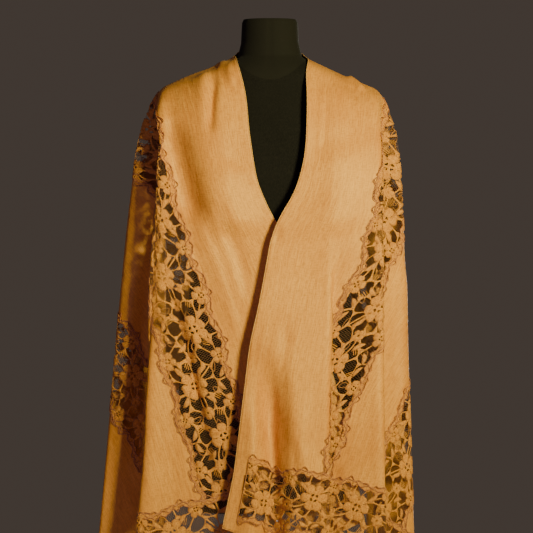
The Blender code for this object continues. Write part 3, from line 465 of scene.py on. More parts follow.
def falling_track(x, y, top):
    """Points of a fold line, from its level places at each row; the cloth is not stretched."""
    slope = np.gradient(x, ROW_STEP) ** 2 + np.gradient(y, ROW_STEP) ** 2
    fall = np.sqrt(np.maximum(1.0 - slope, STEEPEST)) * ROW_STEP
    z = top - np.concatenate(([0.0], np.cumsum(0.5 * (fall[1:] + fall[:-1]))))
    return np.stack((x, y, z), axis=1)


def smooth_column(table, column, reach):
    """A table's column at each row of the drape, its corners eased over some rows."""
    rows = np.array(table)
    values = np.interp(np.arange(ROW_COUNT) * ROW_STEP, rows[:, 0], rows[:, column])
    easing = np.hanning(2 * reach + 1) / np.hanning(2 * reach + 1).sum()
    values[reach:-reach] = np.convolve(values, easing, mode="valid")
    return values


def fold_tracks(side):
    """World points of each fold line of one side, [fold, row, xyz]."""
    drop = np.arange(ROW_COUNT) * ROW_STEP
    gained_x = 1.0 - np.exp(-drop / SPREAD_DROP[0])
    gained_y = 1.0 - np.exp(-drop / SPREAD_DROP[1])
    sign = 1.0 if side == "left" else -1.0
    edge_x = smooth_column(FRONT_EDGE, 1 if side == "left" else 2, EDGE_EASING) * sign
    pleat_edge, pleat_under, pleat_depth = (
        smooth_column(PLEAT, column, PLEAT_EASING) for column in (1, 2, 3))
    untucked = PLEAT_EASE * (1.0 - np.clip(pleat_depth / PLEAT_FULL_DEPTH, 0.0, 1.0))
    given = {"front_edge": edge_x, "pleat_edge": pleat_edge, "pleat_turn": pleat_edge + untucked,
             "pleat_under": pleat_under - untucked, "pleat_return": pleat_under}
    tracks = []
    for name, start, spread_x, flare_x, spread_y, flare_y in FOLDS[side]:
        top = NECK_SIDE + (SHOULDER_TIP - NECK_SIDE) * start
        x = top[0] + spread_x * gained_x + flare_x * drop
        if start == 1.0:
            on_tip = TIP_ROUND[0] * math.sqrt(1.0 - (spread_y / TIP_ROUND[1]) ** 2)
            x = x + (on_tip - spread_x) * (1.0 - eased_up(drop, FOLD_START_DROP)) * gained_x
        if name in given:
            x = given[name]
        elif name == "front_middle":
            x = x + (edge_x - edge_x[0]) * 0.5
        y = top[1] + spread_y * gained_y + flare_y * drop
        y = y + pleat_depth * PLEAT_LAYERS.get(name, 0.0)
        tracks.append(falling_track(x * sign, y, top[2] - SHOULDER_LOWER[side]))
    return tracks


def centre_track():
    """World points down the centre of the back."""
    drop = np.arange(ROW_COUNT) * ROW_STEP
    spread_y, flare_y = CENTRE_BACK
    y = NAPE[1] + spread_y * (1.0 - np.exp(-drop / SPREAD_DROP[1])) + flare_y * drop
    return falling_track(drop * 0.0, y, NAPE[2])


def even_points(curve, count):
    """The curve's points moved along it so that they are evenly spaced, [row, count + 1, xyz]."""
    steps = np.linalg.norm(np.diff(curve, axis=1), axis=2)
    length = np.concatenate((np.zeros((len(curve), 1)), np.cumsum(steps, axis=1)), axis=1)
    out = np.empty((len(curve), count + 1, 3))
    for row in range(len(curve)):
        wanted = np.linspace(0.0, length[row, -1], count + 1)
        for axis in range(3):
            out[row, :, axis] = np.interp(wanted, length[row], curve[row, :, axis])
    return out


def drape_table():
    """For each side, world points [row, column] from the front edge to the centre back."""
    left = fold_tracks("left")
    right = fold_tracks("right")
    section = np.array(left + [centre_track()] + right[::-1])
    slopes = curve_slopes(section)
    t = (np.arange(CURVE_STEPS) / CURVE_STEPS)[:, None, None]
    stretches = [curve_between(section[k], section[k + 1], slopes[k], slopes[k + 1], t)
                 for k in range(len(section) - 1)]
    curve = np.concatenate(stretches + [section[-1:]]).transpose(1, 0, 2)
    middle = len(left) * CURVE_STEPS
    halves = {"left": curve[:, :middle + 1], "right": curve[:, middle:][:, ::-1]}
    table = {}
    for side, half in halves.items():
        ridge = [row[0] for row in FOLDS[side]].index("panel_ridge") * CURVE_STEPS
        front = even_points(half[:, :ridge + 1], FRONT_CELLS)
        rest = even_points(half[:, ridge:], SIDE_CELLS)
        table[side] = outside_form(np.concatenate((front, rest[:, 1:]), axis=1))
    return table


def panel_turn(side, drop):
    """Radians round the shoulder tip that the front panel takes."""
    rows = np.array(PANEL_TURN)
    return np.interp(drop, rows[:, 0], rows[:, PANEL_TURN_COLUMNS.index(side)])


def fall_share(side, angle, turn):
    """Share of a flat reach from the shoulder tip that is fall, less than 1 near the front."""
    near = NEAR_FALL[side]
    return near + (1.0 - near) * eased_up(angle - turn, FULL_FALL_TURN - turn)


def front_place(side, u, v):
    """Drop and share of the way round the front panel, for flat places on it."""
    drop = np.maximum(u - NECK_ALONG, 0.0)
    for _ in range(30):
        turn = panel_turn(side, drop)
        corner_u = TIP_ALONG + NEAR_FALL[side] * drop * np.cos(turn)
        corner_v = TIP_ACROSS[side] + NEAR_FALL[side] * drop * np.sin(turn)
        share = np.clip(v / corner_v, 0.0, 1.0)
        wanted = np.maximum(u - share * (corner_u - NECK_ALONG - drop) - NECK_ALONG, 0.0)
        drop = 0.5 * drop + 0.5 * wanted
    return drop, share


def back_row(side, u, drop):
    """How far down the back, on the flat, the row of a drop starts at u."""
    across = TIP_ACROSS[side]
    at_neck = across * np.clip((u - NECK_ALONG) / (TIP_ALONG - NECK_ALONG), 0.0, 1.0)
    level = across * (u / TIP_ALONG) ** 2
    return at_neck + (level - at_neck) * eased_up(drop, BACK_LEVEL_DROP)


def back_reach(u, drop):
    """How far along the row of a drop a flat place on the back lies from the shoulder tip."""
    on_shoulder = np.clip((TIP_ALONG - u) / (TIP_ALONG - NECK_ALONG), 0.0, 1.0)
    near = SHOULDER_LENGTH * on_shoulder + np.maximum(NECK_ALONG - u, 0.0)
    return near + (TIP_ALONG - u - near) * eased_up(drop, BACK_LEVEL_DROP)


def eased_share(side, drop, share):
    """Share of the row's folds passed, where the cloth is less full near the front of the side."""
    slack = SIDE_SLACK[side] * eased_up(drop, BACK_LEVEL_DROP)
    return share + slack * share * (1.0 - share) ** 2


def back_drop(side, u, v):
    """Drop of the row that a flat place on the back lies on."""
    drop = np.maximum(v - back_row(side, u, 0.0), 0.0)
    for _ in range(40):
        drop = 0.5 * drop + 0.5 * np.maximum(v - back_row(side, u, drop), 0.0)
    return drop


def drape_side(table, side, u, v):
    """World points for flat places on one side of the centre back (u >= 0)."""
    across = TIP_ACROSS[side]
    reach = np.hypot(u - TIP_ALONG, v - across)
    angle = np.arctan2(v - across, u - TIP_ALONG)
    turn = panel_turn(side, reach)
    line_u = NECK_ALONG + (TIP_ALONG - NECK_ALONG) * np.clip(v / across, 0.0, 1.0)
    is_front = np.where(v < across, u >= line_u, (angle < turn) & (u > TIP_ALONG))
    is_back = ~is_front & (u < TIP_ALONG)
    front_drop, front_share = front_place(side, u, v)
    side_drop = reach / fall_share(side, angle, turn)
    drop = np.where(is_front, front_drop, np.where(is_back, back_drop(side, u, v), side_drop))
    corner = (0.5 * math.pi - panel_turn(side, drop)) * drop
    passed = np.where(is_back, corner + back_reach(np.minimum(u, TIP_ALONG), drop),
                      np.clip(angle - turn, 0.0, 0.5 * math.pi - turn) * drop)
    share = eased_share(side, drop, passed / (corner + back_reach(0.0, drop)))
    column = np.where(is_front, FRONT_CELLS * front_share, FRONT_CELLS + SIDE_CELLS * share)
    return read_grid(table[side], drop / ROW_STEP, column)


def read_grid(grid, row, column):
    """Values of a grid between its points, from the four round each place."""
    row = np.clip(row, 0.0, grid.shape[0] - 1.001)
    column = np.clip(column, 0.0, grid.shape[1] - 1.001)
    i = row.astype(int)
    j = column.astype(int)
    a = (row - i)[..., None]
    b = (column - j)[..., None]
    return ((1 - a) * (1 - b) * grid[i, j] + (1 - a) * b * grid[i, j + 1]
            + a * (1 - b) * grid[i + 1, j] + a * b * grid[i + 1, j + 1])


def towards_middle(points, pull):
    """The grid's points drawn towards their neighbours' middle, its rim along itself alone."""
    middle = points.copy()
    middle[1:-1, 1:-1] = (points[2:, 1:-1] + points[:-2, 1:-1]
                          + points[1:-1, 2:] + points[1:-1, :-2]) / 4
    for k in (0, -1):
        middle[k, 1:-1] = (points[k, 2:] + points[k, :-2]) / 2
        middle[1:-1, k] = (points[2:, k] + points[:-2, k]) / 2
    return points + (middle - points) * pull


def eased(points, passes):
    """The grid with its sharp corners rounded, its folds as large as before."""
    for _ in range(passes):
        for pull in EASING_PULLS:
            points = towards_middle(points, pull)
    return points


def grid_normals(points):
    """Outward unit normals of the sheet's grid."""
    along = np.gradient(points, axis=0)
    across = np.gradient(points, axis=1)
    normals = np.cross(along, across)
    return normals / np.linalg.norm(normals, axis=2, keepdims=True)


def near_path(flat, path):
    """Least distance from flat places to a path, and where along it that is, 0 to 1."""
    path = np.array(path)
    best = np.full(flat.shape[:-1], 9.0)
    where = np.zeros(flat.shape[:-1])
    lengths = np.linalg.norm(np.diff(path, axis=0), axis=1)
    total = lengths.sum()
    passed = 0.0
    for start, end, length in zip(path, path[1:], lengths):
        t = np.clip(((flat - start) @ (end - start)) / length ** 2, 0.0, 1.0)
        distance = np.linalg.norm(flat - start - t[..., None] * (end - start), axis=-1)
        closer = distance < best
        best = np.where(closer, distance, best)
        where = np.where(closer, (passed + t * length) / total, where)
        passed += length
    return best, where


class Sheet:
    """The hung cloth as a grid over its flat rectangle."""

    def __init__(self):
        counts = (round(CLOTH_LENGTH / SHEET_GRID), round(CLOTH_WIDTH / SHEET_GRID))
        self.along = np.linspace(-CLOTH_LENGTH / 2, CLOTH_LENGTH / 2, counts[0] + 1)
        self.across = np.linspace(0.0, CLOTH_WIDTH, counts[1] + 1)
        u, v = np.meshgrid(self.along, self.across, indexing="ij")
        table = drape_table()
        left = drape_side(table, "left", np.abs(u), v)
        right = drape_side(table, "right", np.abs(u), v)
        points = np.where((u >= 0)[..., None], left, right)
        points = eased(points, SHEET_EASING)
        normals = grid_normals(points)
        flat = np.stack((u, v), axis=-1)
        rise = np.zeros(u.shape)
        for path, half_width, height in CREASES:
            distance, where = near_path(flat, path)
            fade = eased_up(np.minimum(where, 1.0 - where), CREASE_FADE)
            rise += height * fade * np.exp(-(distance / half_width) ** 2)
        points += normals * (DEEPEST * np.tanh(rise / DEEPEST))[..., None]
        points = eased(outside_form(points), 1)
        self.points = outside_form(points)
        self.normals = grid_normals(self.points)

    def lay(self, flat, lift):
        """World points of flat places [n, 2], lifted off the sheet along its normal."""
        row = (flat[:, 0] + CLOTH_LENGTH / 2) / CLOTH_LENGTH * (len(self.along) - 1)
        column = flat[:, 1] / CLOTH_WIDTH * (len(self.across) - 1)
        points = read_grid(self.points, row, column)
        normals = read_grid(self.normals, row, column)
        normals /= np.linalg.norm(normals, axis=1, keepdims=True)
        return points + normals * np.reshape(lift, (-1, 1))


# ---------------------------------------------------------------- making meshes
def add_object(name, data):
    item = bpy.data.objects.new(name, data)
    bpy.context.scene.collection.objects.link(item)
    return item


def make_piece(name, points, faces, material, flat=None):
    """A smooth-shaded object with its place in its mesh, and its flat places as a UV map."""
    mesh = bpy.data.meshes.new(name)
    faces = faces.tolist() if isinstance(faces, np.ndarray) else faces
    mesh.from_pydata(np.asarray(points).tolist(), [], faces)
    mesh.materials.append(material)
    mesh.shade_smooth()
    if flat is not None:
        layer = mesh.uv_layers.new(name="flat")
        corner = np.empty(len(mesh.loops), int)
        mesh.loops.foreach_get("vertex_index", corner)
        layer.data.foreach_set("uv", np.asarray(flat, np.float32)[corner].ravel())
    return add_object(name, mesh)


def rim_of(faces):
    """Directed edges that belong to one triangle only."""
    edges = np.concatenate((faces[:, (0, 1)], faces[:, (1, 2)], faces[:, (2, 0)]))
    big = faces.max() + 1
    forward = edges[:, 0] * big + edges[:, 1]
    backward = edges[:, 1] * big + edges[:, 0]
    return edges[~np.isin(forward, backward)]


def shell(name, sheet, flat, faces, thick, material, relief=0.0):
    """A closed thin shell laid on the hung sheet from flat triangles."""
    inner = sheet.lay(flat, np.full(len(flat), thick[0]))
    outer = sheet.lay(flat, np.full(len(flat), thick[1]) + relief)
    count = len(flat)
    rim = rim_of(faces)
    sides = np.stack((rim[:, 0], rim[:, 1], rim[:, 1] + count, rim[:, 0] + count), axis=1)
    triangles = np.concatenate((faces[:, ::-1], faces + count))
    walls = np.concatenate((sides[:, (0, 1, 2)], sides[:, (0, 2, 3)]))
    return make_piece(name, np.concatenate((inner, outer)), np.concatenate((triangles, walls)),
                      material, np.concatenate((flat, flat)))


class FlatLines:
    """Points on the flat and the lines between them that a mesh keeps as edges."""

    def __init__(self):
        self.points = []
        self.lines = []

    def add(self, path, closed=False):
        first = len(self.points)
        self.points.extend(map(tuple, path))
        self.lines.extend((first + k, first + k + 1) for k in range(len(path) - 1))
        if closed:
            self.lines.append((first + len(path) - 1, first))


def fill_flat(points, lines, near):
    """Points and counter-clockwise triangles between flat points, with the lines as edges."""
    found, _, faces, _, _, _ = delaunay_2d_cdt([Vector(p) for p in points], lines, [], 0, near,
                                               False)
    flat = np.array([tuple(p) for p in found])
    faces = np.array([tuple(face) for face in faces if len(face) == 3])
    a, b, c = (flat[faces[:, k]] for k in range(3))
    area = (b[:, 0] - a[:, 0]) * (c[:, 1] - a[:, 1]) - (b[:, 1] - a[:, 1]) * (c[:, 0] - a[:, 0])
    faces = faces[np.abs(area) > 1e-10]
    area = area[np.abs(area) > 1e-10]
    faces[area < 0] = faces[area < 0][:, ::-1]
    return flat, faces


def used_only(flat, faces):
    """The same mesh without its unused points."""
    used = np.unique(faces)
    small = np.full(len(flat), -1)
    small[used] = np.arange(len(used))
    return flat[used], small[faces]


def staggered(low, high, rows, step):
    """Places a step apart along each row, every other row moved by half a step."""
    return [(along, across) for k, across in enumerate(rows)
            for along in np.arange(low + step * (0.75 if k % 2 else 0.25), high, step)]


# ---------------------------------------------------------------- the lace's border and bands
def border_wave(place, edge):
    """How far the lace's border runs past the band's straight edge."""
    turn = 2.0 * math.pi * place / LACE_REPEAT
    deep, small = WAVE
    return (deep * np.sin(BIG_WAVES * turn + WAVE_TURN[edge])
            + small * (np.abs(np.sin(SCALLOPS * turn / 2)) ** 0.8 - 0.5))


def junction(across):
    """1 where an end band meets the long bands, 0 away from them."""
    share = np.zeros_like(across)
    for edge in (UPPER_BAND, LOWER_BAND):
        away = np.abs(across - edge - HALF_BAND) - HALF_BAND
        share = np.maximum(share, np.clip(1.0 - away / JUNCTION_EASING, 0.0, 1.0))
    return level_ends(share)


def long_band_edges(along):
    """Across places of the four borders of the long bands."""
    edges = []
    for edge in (UPPER_BAND, LOWER_BAND):
        edges.append(edge - border_wave(along, "low"))
        edges.append(edge + BAND_WIDTH + border_wave(along, "high"))
    return edges


def end_band_edges(across):
    """Along places of the inner and outer border of an end band, as if u > 0."""
    place = across - SELVEDGE
    inner = END_BAND - border_wave(place, "low") * (1.0 - junction(across))
    return inner, END_BAND + BAND_WIDTH + border_wave(place, "high")


def is_lace(flat):
    """True at flat places within the lace's borders."""
    u = np.abs(flat[:, 0])
    v = flat[:, 1]
    edges = long_band_edges(flat[:, 0])
    long_bands = ((v > edges[0]) & (v < edges[1])) | ((v > edges[2]) & (v < edges[3]))
    inner, outer = end_band_edges(v)
    end_band = (u > inner) & (u < outer) & (v > SELVEDGE) & (v < CLOTH_WIDTH - SELVEDGE)
    return (long_bands & (u <= END_BAND)) | end_band


def ground_mesh():
    """The ground cloth on the flat, cut out along the lace's borders."""
    drawn = FlatLines()
    half = CLOTH_LENGTH / 2
    step = LACE_REPEAT / BORDER_STEPS
    corners = ((-half, 0.0), (half, 0.0), (half, CLOTH_WIDTH), (-half, CLOTH_WIDTH), (-half, 0.0))
    for start, end in zip(corners, corners[1:]):
        count = round(math.dist(start, end) / GROUND_GRID)
        drawn.add([np.array(start) + (np.array(end) - start) * k / count
                   for k in range(count + 1)])
    along = np.arange(-END_BAND, END_BAND + step / 2, step)
    for edge in long_band_edges(along):
        drawn.add(list(zip(along, edge)))
    across = np.arange(SELVEDGE, CLOTH_WIDTH - SELVEDGE + step / 2, step)
    across[-1] = CLOTH_WIDTH - SELVEDGE
    inner, outer = end_band_edges(across)
    for sign in (1.0, -1.0):
        drawn.add(list(zip(sign * inner, across)))
        drawn.add(list(zip(sign * outer, across)))
        for k in (0, -1):
            drawn.add([(sign * inner[k], across[k]), (sign * outer[k], across[k])])
    row = GROUND_GRID * math.sqrt(0.75)
    rows = np.arange(row, CLOTH_WIDTH - row / 2, row)
    grid = np.array(staggered(-half, half, rows, GROUND_GRID))
    grid = grid[~is_lace(grid)]
    cell = GROUND_GRID * 0.6        # a point of the grid is left out where a line's is in its cell
    taken = {tuple(key) for key in np.round(np.array(drawn.points) / cell).astype(int)}
    grid = grid[[tuple(key) not in taken for key in np.round(grid / cell).astype(int)]]
    flat, faces = fill_flat(drawn.points + list(map(tuple, grid)), drawn.lines, 1e-5)
    faces = faces[~is_lace(flat[faces].mean(axis=1))]
    return used_only(flat, faces)


# ---------------------------------------------------------------- one repeat of the lace
def flower_outline(along, across, reach, petals, turn):
    """Rounded petals with notches between them."""
    count = petals * 12
    angle = 2.0 * math.pi * np.arange(count) / count
    lobe = np.abs(np.sin(petals * angle / 2))
    tip = np.cos(petals * angle / 2) ** 2
    radius = reach * (0.64 + 0.36 * lobe ** 0.50 - 0.06 * (1.0 - tip) ** 9)
    radius *= 1.0 + 0.05 * np.sin(2 * angle + 1.0)
    return np.stack((along + radius * np.cos(angle + turn), across + radius * np.sin(angle + turn)),
                    axis=1)


def eyelet_outline(along, across, reach):
    angle = 2.0 * math.pi * np.arange(EYELET_SIDES) / EYELET_SIDES
    return np.stack((along + reach * np.cos(angle), across + reach * np.sin(angle)), axis=1)


def leaf_outline(along, across, length, width, turn):
    """A leaf with two pointed ends, a little bent."""
    t = np.linspace(-1.0, 1.0, 9)
    half = width / 2 * (1.0 - t ** 2) ** 0.85
    middle = 0.12 * length * (1.0 - t ** 2)
    x = np.concatenate((t, t[-2:0:-1])) * length / 2
    y = np.concatenate((middle - half, (middle + half)[-2:0:-1]))
    c = math.cos(turn)
    s = math.sin(turn)
    return np.stack((along + x * c - y * s, across + x * s + y * c), axis=1)


def ribbon_outline(path, width):
    """A strip of even width along a path."""
    path = np.array(path)
    along = np.gradient(path, axis=0)
    along /= np.linalg.norm(along, axis=1, keepdims=True)
    side = np.stack((-along[:, 1], along[:, 0]), axis=1) * np.reshape(width, (-1, 1)) / 2
    return np.concatenate((path - side, (path + side)[::-1]))


def curved(start, middle, end, count=9):
    """Places on a bent line from start to end, drawn towards the middle."""
    t = np.linspace(0.0, 1.0, count)[:, None]
    return ((1 - t) ** 2 * np.array(start) + 2 * t * (1 - t) * np.array(middle)
            + t ** 2 * np.array(end))


def rounded(outline):
    """The closed outline with its corners cut off."""
    ahead = np.roll(outline, -1, axis=0)
    return np.stack((0.75 * outline + 0.25 * ahead, 0.25 * outline + 0.75 * ahead),
                    axis=1).reshape(-1, 2)


def lace_openings():
    """Uneven rounded openings of one repeat; the bars between them stay closed."""
    chance = np.random.default_rng(OPENINGS_SEED)
    field = np.array((LACE_REPEAT, 2 * OPENINGS_REACH))
    count = round(field[0] * field[1] / (OPENING_SIZE[0] * OPENING_SIZE[1]))
    seeds = chance.random((count, 2)) * field - (0.0, OPENINGS_REACH)
    squeeze = np.array((OPENING_SIZE[1] / OPENING_SIZE[0], 1.0))
    samples = chance.random((SEED_SAMPLES, 2)) * field - (0.0, OPENINGS_REACH)
    for along, across, size, _, _ in FLOWERS:
        for places in (samples, seeds):
            away = places - (along, across)
            away[:, 0] -= LACE_REPEAT * np.round(away[:, 0] / LACE_REPEAT)
            keep = np.linalg.norm(away, axis=1) > FLOWER_CLEAR * size
            if places is samples:
                samples = samples[keep]
            else:
                seeds = seeds[keep]
    count = len(seeds)
    rounds, pull = SEED_ROUNDS
    for _ in range(rounds):
        away = samples[:, None] - seeds[None]
        away[..., 0] -= LACE_REPEAT * np.round(away[..., 0] / LACE_REPEAT)
        nearest = np.linalg.norm(away * squeeze, axis=2).argmin(axis=1)
        moved = seeds.copy()
        for k in range(count):
            mine = nearest == k
            if mine.any():
                moved[k] = seeds[k] + away[mine, k].mean(axis=0)
        seeds += (moved - seeds) * pull
    seeds[:, 0] %= LACE_REPEAT
    wide = np.concatenate([seeds + shift for shift in SHIFTS]) * squeeze
    flat, faces = fill_flat(list(map(tuple, wide)), [], 1e-7)
    a, b, c = (flat[faces[:, k]] for k in range(3))
    d = 2 * (a[:, 0] * (b[:, 1] - c[:, 1]) + b[:, 0] * (c[:, 1] - a[:, 1])
             + c[:, 0] * (a[:, 1] - b[:, 1]))
    aa, bb, cc = ((p ** 2).sum(axis=1) for p in (a, b, c))
    x = (aa * (b[:, 1] - c[:, 1]) + bb * (c[:, 1] - a[:, 1]) + cc * (a[:, 1] - b[:, 1])) / d
    y = (aa * (c[:, 0] - b[:, 0]) + bb * (a[:, 0] - c[:, 0]) + cc * (b[:, 0] - a[:, 0])) / d
    centres = np.stack((x, y), axis=1) / squeeze
    outlines = []
    for seed in seeds:
        width = BAR[0] + (BAR[1] - BAR[0]) * chance.random() ** 1.5
        if abs(seed[1]) > OPENINGS_KEPT:
            continue
        own = np.linalg.norm(flat - seed * squeeze, axis=1).argmin()
        corners = centres[(faces == own).any(axis=1)]
        turn = np.arctan2(corners[:, 1] - seed[1], corners[:, 0] - seed[0])
        corners = corners[np.argsort(turn)]
        if np.abs(corners[:, 1]).max() > OPENING_CORNER:
            continue
        middle = corners.mean(axis=0)
        edge = np.roll(corners, -1, axis=0) - corners
        away = np.abs(edge[:, 0] * (middle - corners)[:, 1] - edge[:, 1] * (middle - corners)[:, 0])
        away = np.median(away / np.maximum(np.linalg.norm(edge, axis=1), 1e-9))
        share = 1.0 - width / 2 / away
        if share > OPENING_LEAST:
            outlines.append(rounded(middle + (corners - middle) * share))
    return outlines


def in_outline(places, outline):
    """True for each place that lies in the outline."""
    odd = np.zeros(len(places), bool)
    low = outline.min(axis=0)
    high = outline.max(axis=0)
    near = np.where(np.all((places >= low) & (places <= high), axis=1))[0]
    close = places[near]
    inside = np.zeros(len(near), bool)
    for start, end in zip(outline, np.roll(outline, -1, axis=0)):
        if start[1] == end[1]:
            continue
        crosses = (start[1] > close[:, 1]) != (end[1] > close[:, 1])
        x = start[0] + (end[0] - start[0]) * (close[:, 1] - start[1]) / (end[1] - start[1])
        inside ^= crosses & (x > close[:, 0])
    odd[near] = inside
    return odd


def lace_forms(place, limits):
    """Outlines of one repeat's forms, what each adds in relief, and the paths of its cords."""
    over = []           # outlines of what stands over the band's border too
    within = []         # thin lines and stems that cross openings, cut off at the border
    holes = []
    cords = []
    reliefs = []
    for along, across, reach, petals, turn in FLOWERS:
        outline = flower_outline(along, across, reach, petals, turn)
        over.append(outline)
        cords.append(("flower", np.concatenate((outline, outline[:1]))[::2]))
        reliefs.append((outline, RISE["flower"], (along, across, petals, turn)))
        if reach > BIG_FLOWER:
            slits = [(turn + 0.5 * math.pi * k + 0.5, HEART_SLITS) for k in range(4)]
            slits += [(turn + 2.0 * math.pi * k / petals, PETAL_SLITS) for k in range(petals)]
            for angle, (away, length, width, lean) in slits:
                holes.append(leaf_outline(along + away * reach * math.cos(angle),
                                          across + away * reach * math.sin(angle),
                                          length * reach, width * reach, angle + lean))
        else:
            holes.append(eyelet_outline(along, across, EYE * reach))
    for leaf in LEAVES:
        outline = leaf_outline(*leaf)
        over.append(outline)
        cords.append(("leaf", np.concatenate((outline, outline[:1]))[::2]))
        reliefs.append((outline, RISE["leaf"], None))
    for loop in LOOPS:
        outline = leaf_outline(*loop)
        within.append(ribbon_outline(np.concatenate((outline, outline[:2])), LINE))
        cords.append(("leaf", np.concatenate((outline, outline[:1]))))
    for along, across, turn, count in HATCHES:
        c = math.cos(turn)
        s = math.sin(turn)
        for k in range(count):
            side = (k - (count - 1) / 2) * HATCH_PITCH
            reach = HATCH_REACH[0] - HATCH_REACH[1] * abs(side) / HATCH_PITCH
            ends = [(along + t * c - side * s, across + t * s + side * c) for t in (-reach, reach)]
            within.append(ribbon_outline(ends, LINE))
    for stem in STEMS:
        within.append(ribbon_outline(curved(*stem), STEM_WIDTH))
    for edge, limit in limits.items():
        path = np.stack((place, limit), axis=1)
        sign = -1.0 if edge == "low" else 1.0
        offset = np.array((0.0, sign * BORDER_RIBBON / 2))
        over.append(np.concatenate((path - offset, (path + offset)[::-1])))
        reliefs.append((over[-1], RISE["border"], None))
        for away, sway, waves, turn in BORDER_CORDS:
            along = 2.0 * math.pi * place / LACE_REPEAT
            swing = away + sway * (0.70 * np.sin(waves * along + turn)
                                   + 0.55 * np.sin((waves + 4) * along - 1.7 * turn))
            cord = path + np.stack((place * 0.0, sign * swing), axis=1)
            cords.append(("border", cord if sway else cord[::2]))
            # A dark cord beside each wavy border cord: a painted shadow of that cord on the lace.
            if sway:
                cords.append(("shade", (cord - (0.0, sign * PAINTED_SHADOW_AWAY))[::2]))
        for k in range(BORDER_EYELETS):
            along = LACE_REPEAT * (k + 0.5) / BORDER_EYELETS
            across = np.interp(along, place, limit) - sign * EYELET[1]
            holes.append(eyelet_outline(along, across, EYELET[0]))
    return over, within, holes, reliefs, cords


def reaches_in(outline):
    """True if the outline comes into the repeat or near it."""
    along = outline[:, 0]
    return along.max() > -REPEAT_NEAR and along.min() < LACE_REPEAT + REPEAT_NEAR


def lace_relief(flat, reliefs):
    """How far each flat place stands out of the lace."""
    height = np.zeros(len(flat))
    for outline, rise, flower in reliefs:
        for shift in SHIFTS:
            moved = outline + shift
            if not reaches_in(moved):
                continue
            inner = in_outline(flat, moved)
            if not inner.any():
                continue
            distance, _ = near_path(flat[inner], np.concatenate((moved, moved[:1])))
            share = np.clip(distance / RISE_EASING, 0.0, 1.0)
            risen = rise * share * (2.0 - share)
            if flower:
                along, across, petals, turn = flower
                away = flat[inner] - (along + shift[0], across)
                lobe = np.abs(np.sin(petals * (np.arctan2(away[:, 1], away[:, 0]) - turn) / 2))
                risen *= 0.30 + 0.70 * lobe ** 0.6
            height[inner] = np.maximum(height[inner], risen)
    return height


def lace_repeat():
    """One repeat of the lace on the flat: points, faces, relief, and the paths of its cords."""
    place = np.linspace(0.0, LACE_REPEAT, BORDER_STEPS + 1)
    limits = {"low": -HALF_BAND - border_wave(place, "low"),
              "high": HALF_BAND + border_wave(place, "high")}
    over, within, holes, reliefs, cords = lace_forms(place, limits)
    over, within, holes, openings = (
        [outline + shift for outline in group for shift in SHIFTS if reaches_in(outline + shift)]
        for group in (over, within, holes, lace_openings()))
    drawn = FlatLines()
    for outline in over + within + holes + openings:
        drawn.add(outline, closed=True)
    for side in (0.0, LACE_REPEAT):
        drawn.add([(side, -REPEAT_TOP), (side, REPEAT_TOP)])
    for edge, limit in limits.items():
        drawn.add(list(zip(place, limit)))
        drawn.add(list(zip(place[::2], (limit - (-RIM if edge == "low" else RIM))[::2])))
    rows = np.arange(-LACE_GRID_REACH, LACE_GRID_REACH, LACE_GRID)
    drawn.points += staggered(0.0, LACE_REPEAT, rows, LACE_GRID)
    flat, faces = fill_flat(drawn.points, drawn.lines, LACE_MERGE)
    middle = flat[faces].mean(axis=1)
    inside = (middle[:, 0] > 0.0) & (middle[:, 0] < LACE_REPEAT)
    faces = faces[inside]
    middle = middle[inside]

    def covered(group):
        found = np.zeros(len(middle), bool)
        for outline in group:
            found |= in_outline(middle, outline)
        return found

    low = np.interp(middle[:, 0], place, limits["low"])
    high = np.interp(middle[:, 0], place, limits["high"])
    field = (middle[:, 1] > low) & (middle[:, 1] < high)
    open_field = ((middle[:, 1] > np.interp(middle[:, 0], place[::2], limits["low"][::2] + RIM))
                  & (middle[:, 1] < np.interp(middle[:, 0], place[::2], limits["high"][::2] - RIM)))
    solid = (field & ~(covered(openings) & open_field)) | (covered(within) & field) | covered(over)
    faces = faces[solid & ~covered(holes)]
    flat, faces = used_only(flat, faces)
    return flat, faces, lace_relief(flat, reliefs), cords


# ---------------------------------------------------------------- repeats by Geometry Nodes
def new_tree(name, inputs):
    """A Geometry Nodes tree with named inputs: the tree and its input node."""
    tree = bpy.data.node_groups.new(name, "GeometryNodeTree")
    for socket, kind in (("Geometry", "Geometry"), *inputs):
        tree.interface.new_socket(socket, in_out="INPUT", socket_type=f"NodeSocket{kind}")
    tree.interface.new_socket("Geometry", in_out="OUTPUT", socket_type="NodeSocketGeometry")
    return tree, tree.nodes.new("NodeGroupInput")


def close_tree(tree, mesh, material, join=None):
    """The tree's end: its instances made real, joined where they meet, in one material."""
    real = tree.nodes.new("GeometryNodeRealizeInstances")
    tree.links.new(mesh, real.inputs[0])
    mesh = real.outputs[0]
    if join:
        merge = tree.nodes.new("GeometryNodeMergeByDistance")
        merge.inputs["Distance"].default_value = join
        tree.links.new(mesh, merge.inputs["Geometry"])
        mesh = merge.outputs[0]
    finish = tree.nodes.new("GeometryNodeSetMaterial")
    result = tree.nodes.new("NodeGroupOutput")
    tree.links.new(mesh, finish.inputs["Geometry"])
    tree.links.new(material, finish.inputs["Material"])
    tree.links.new(finish.outputs[0], result.inputs[0])


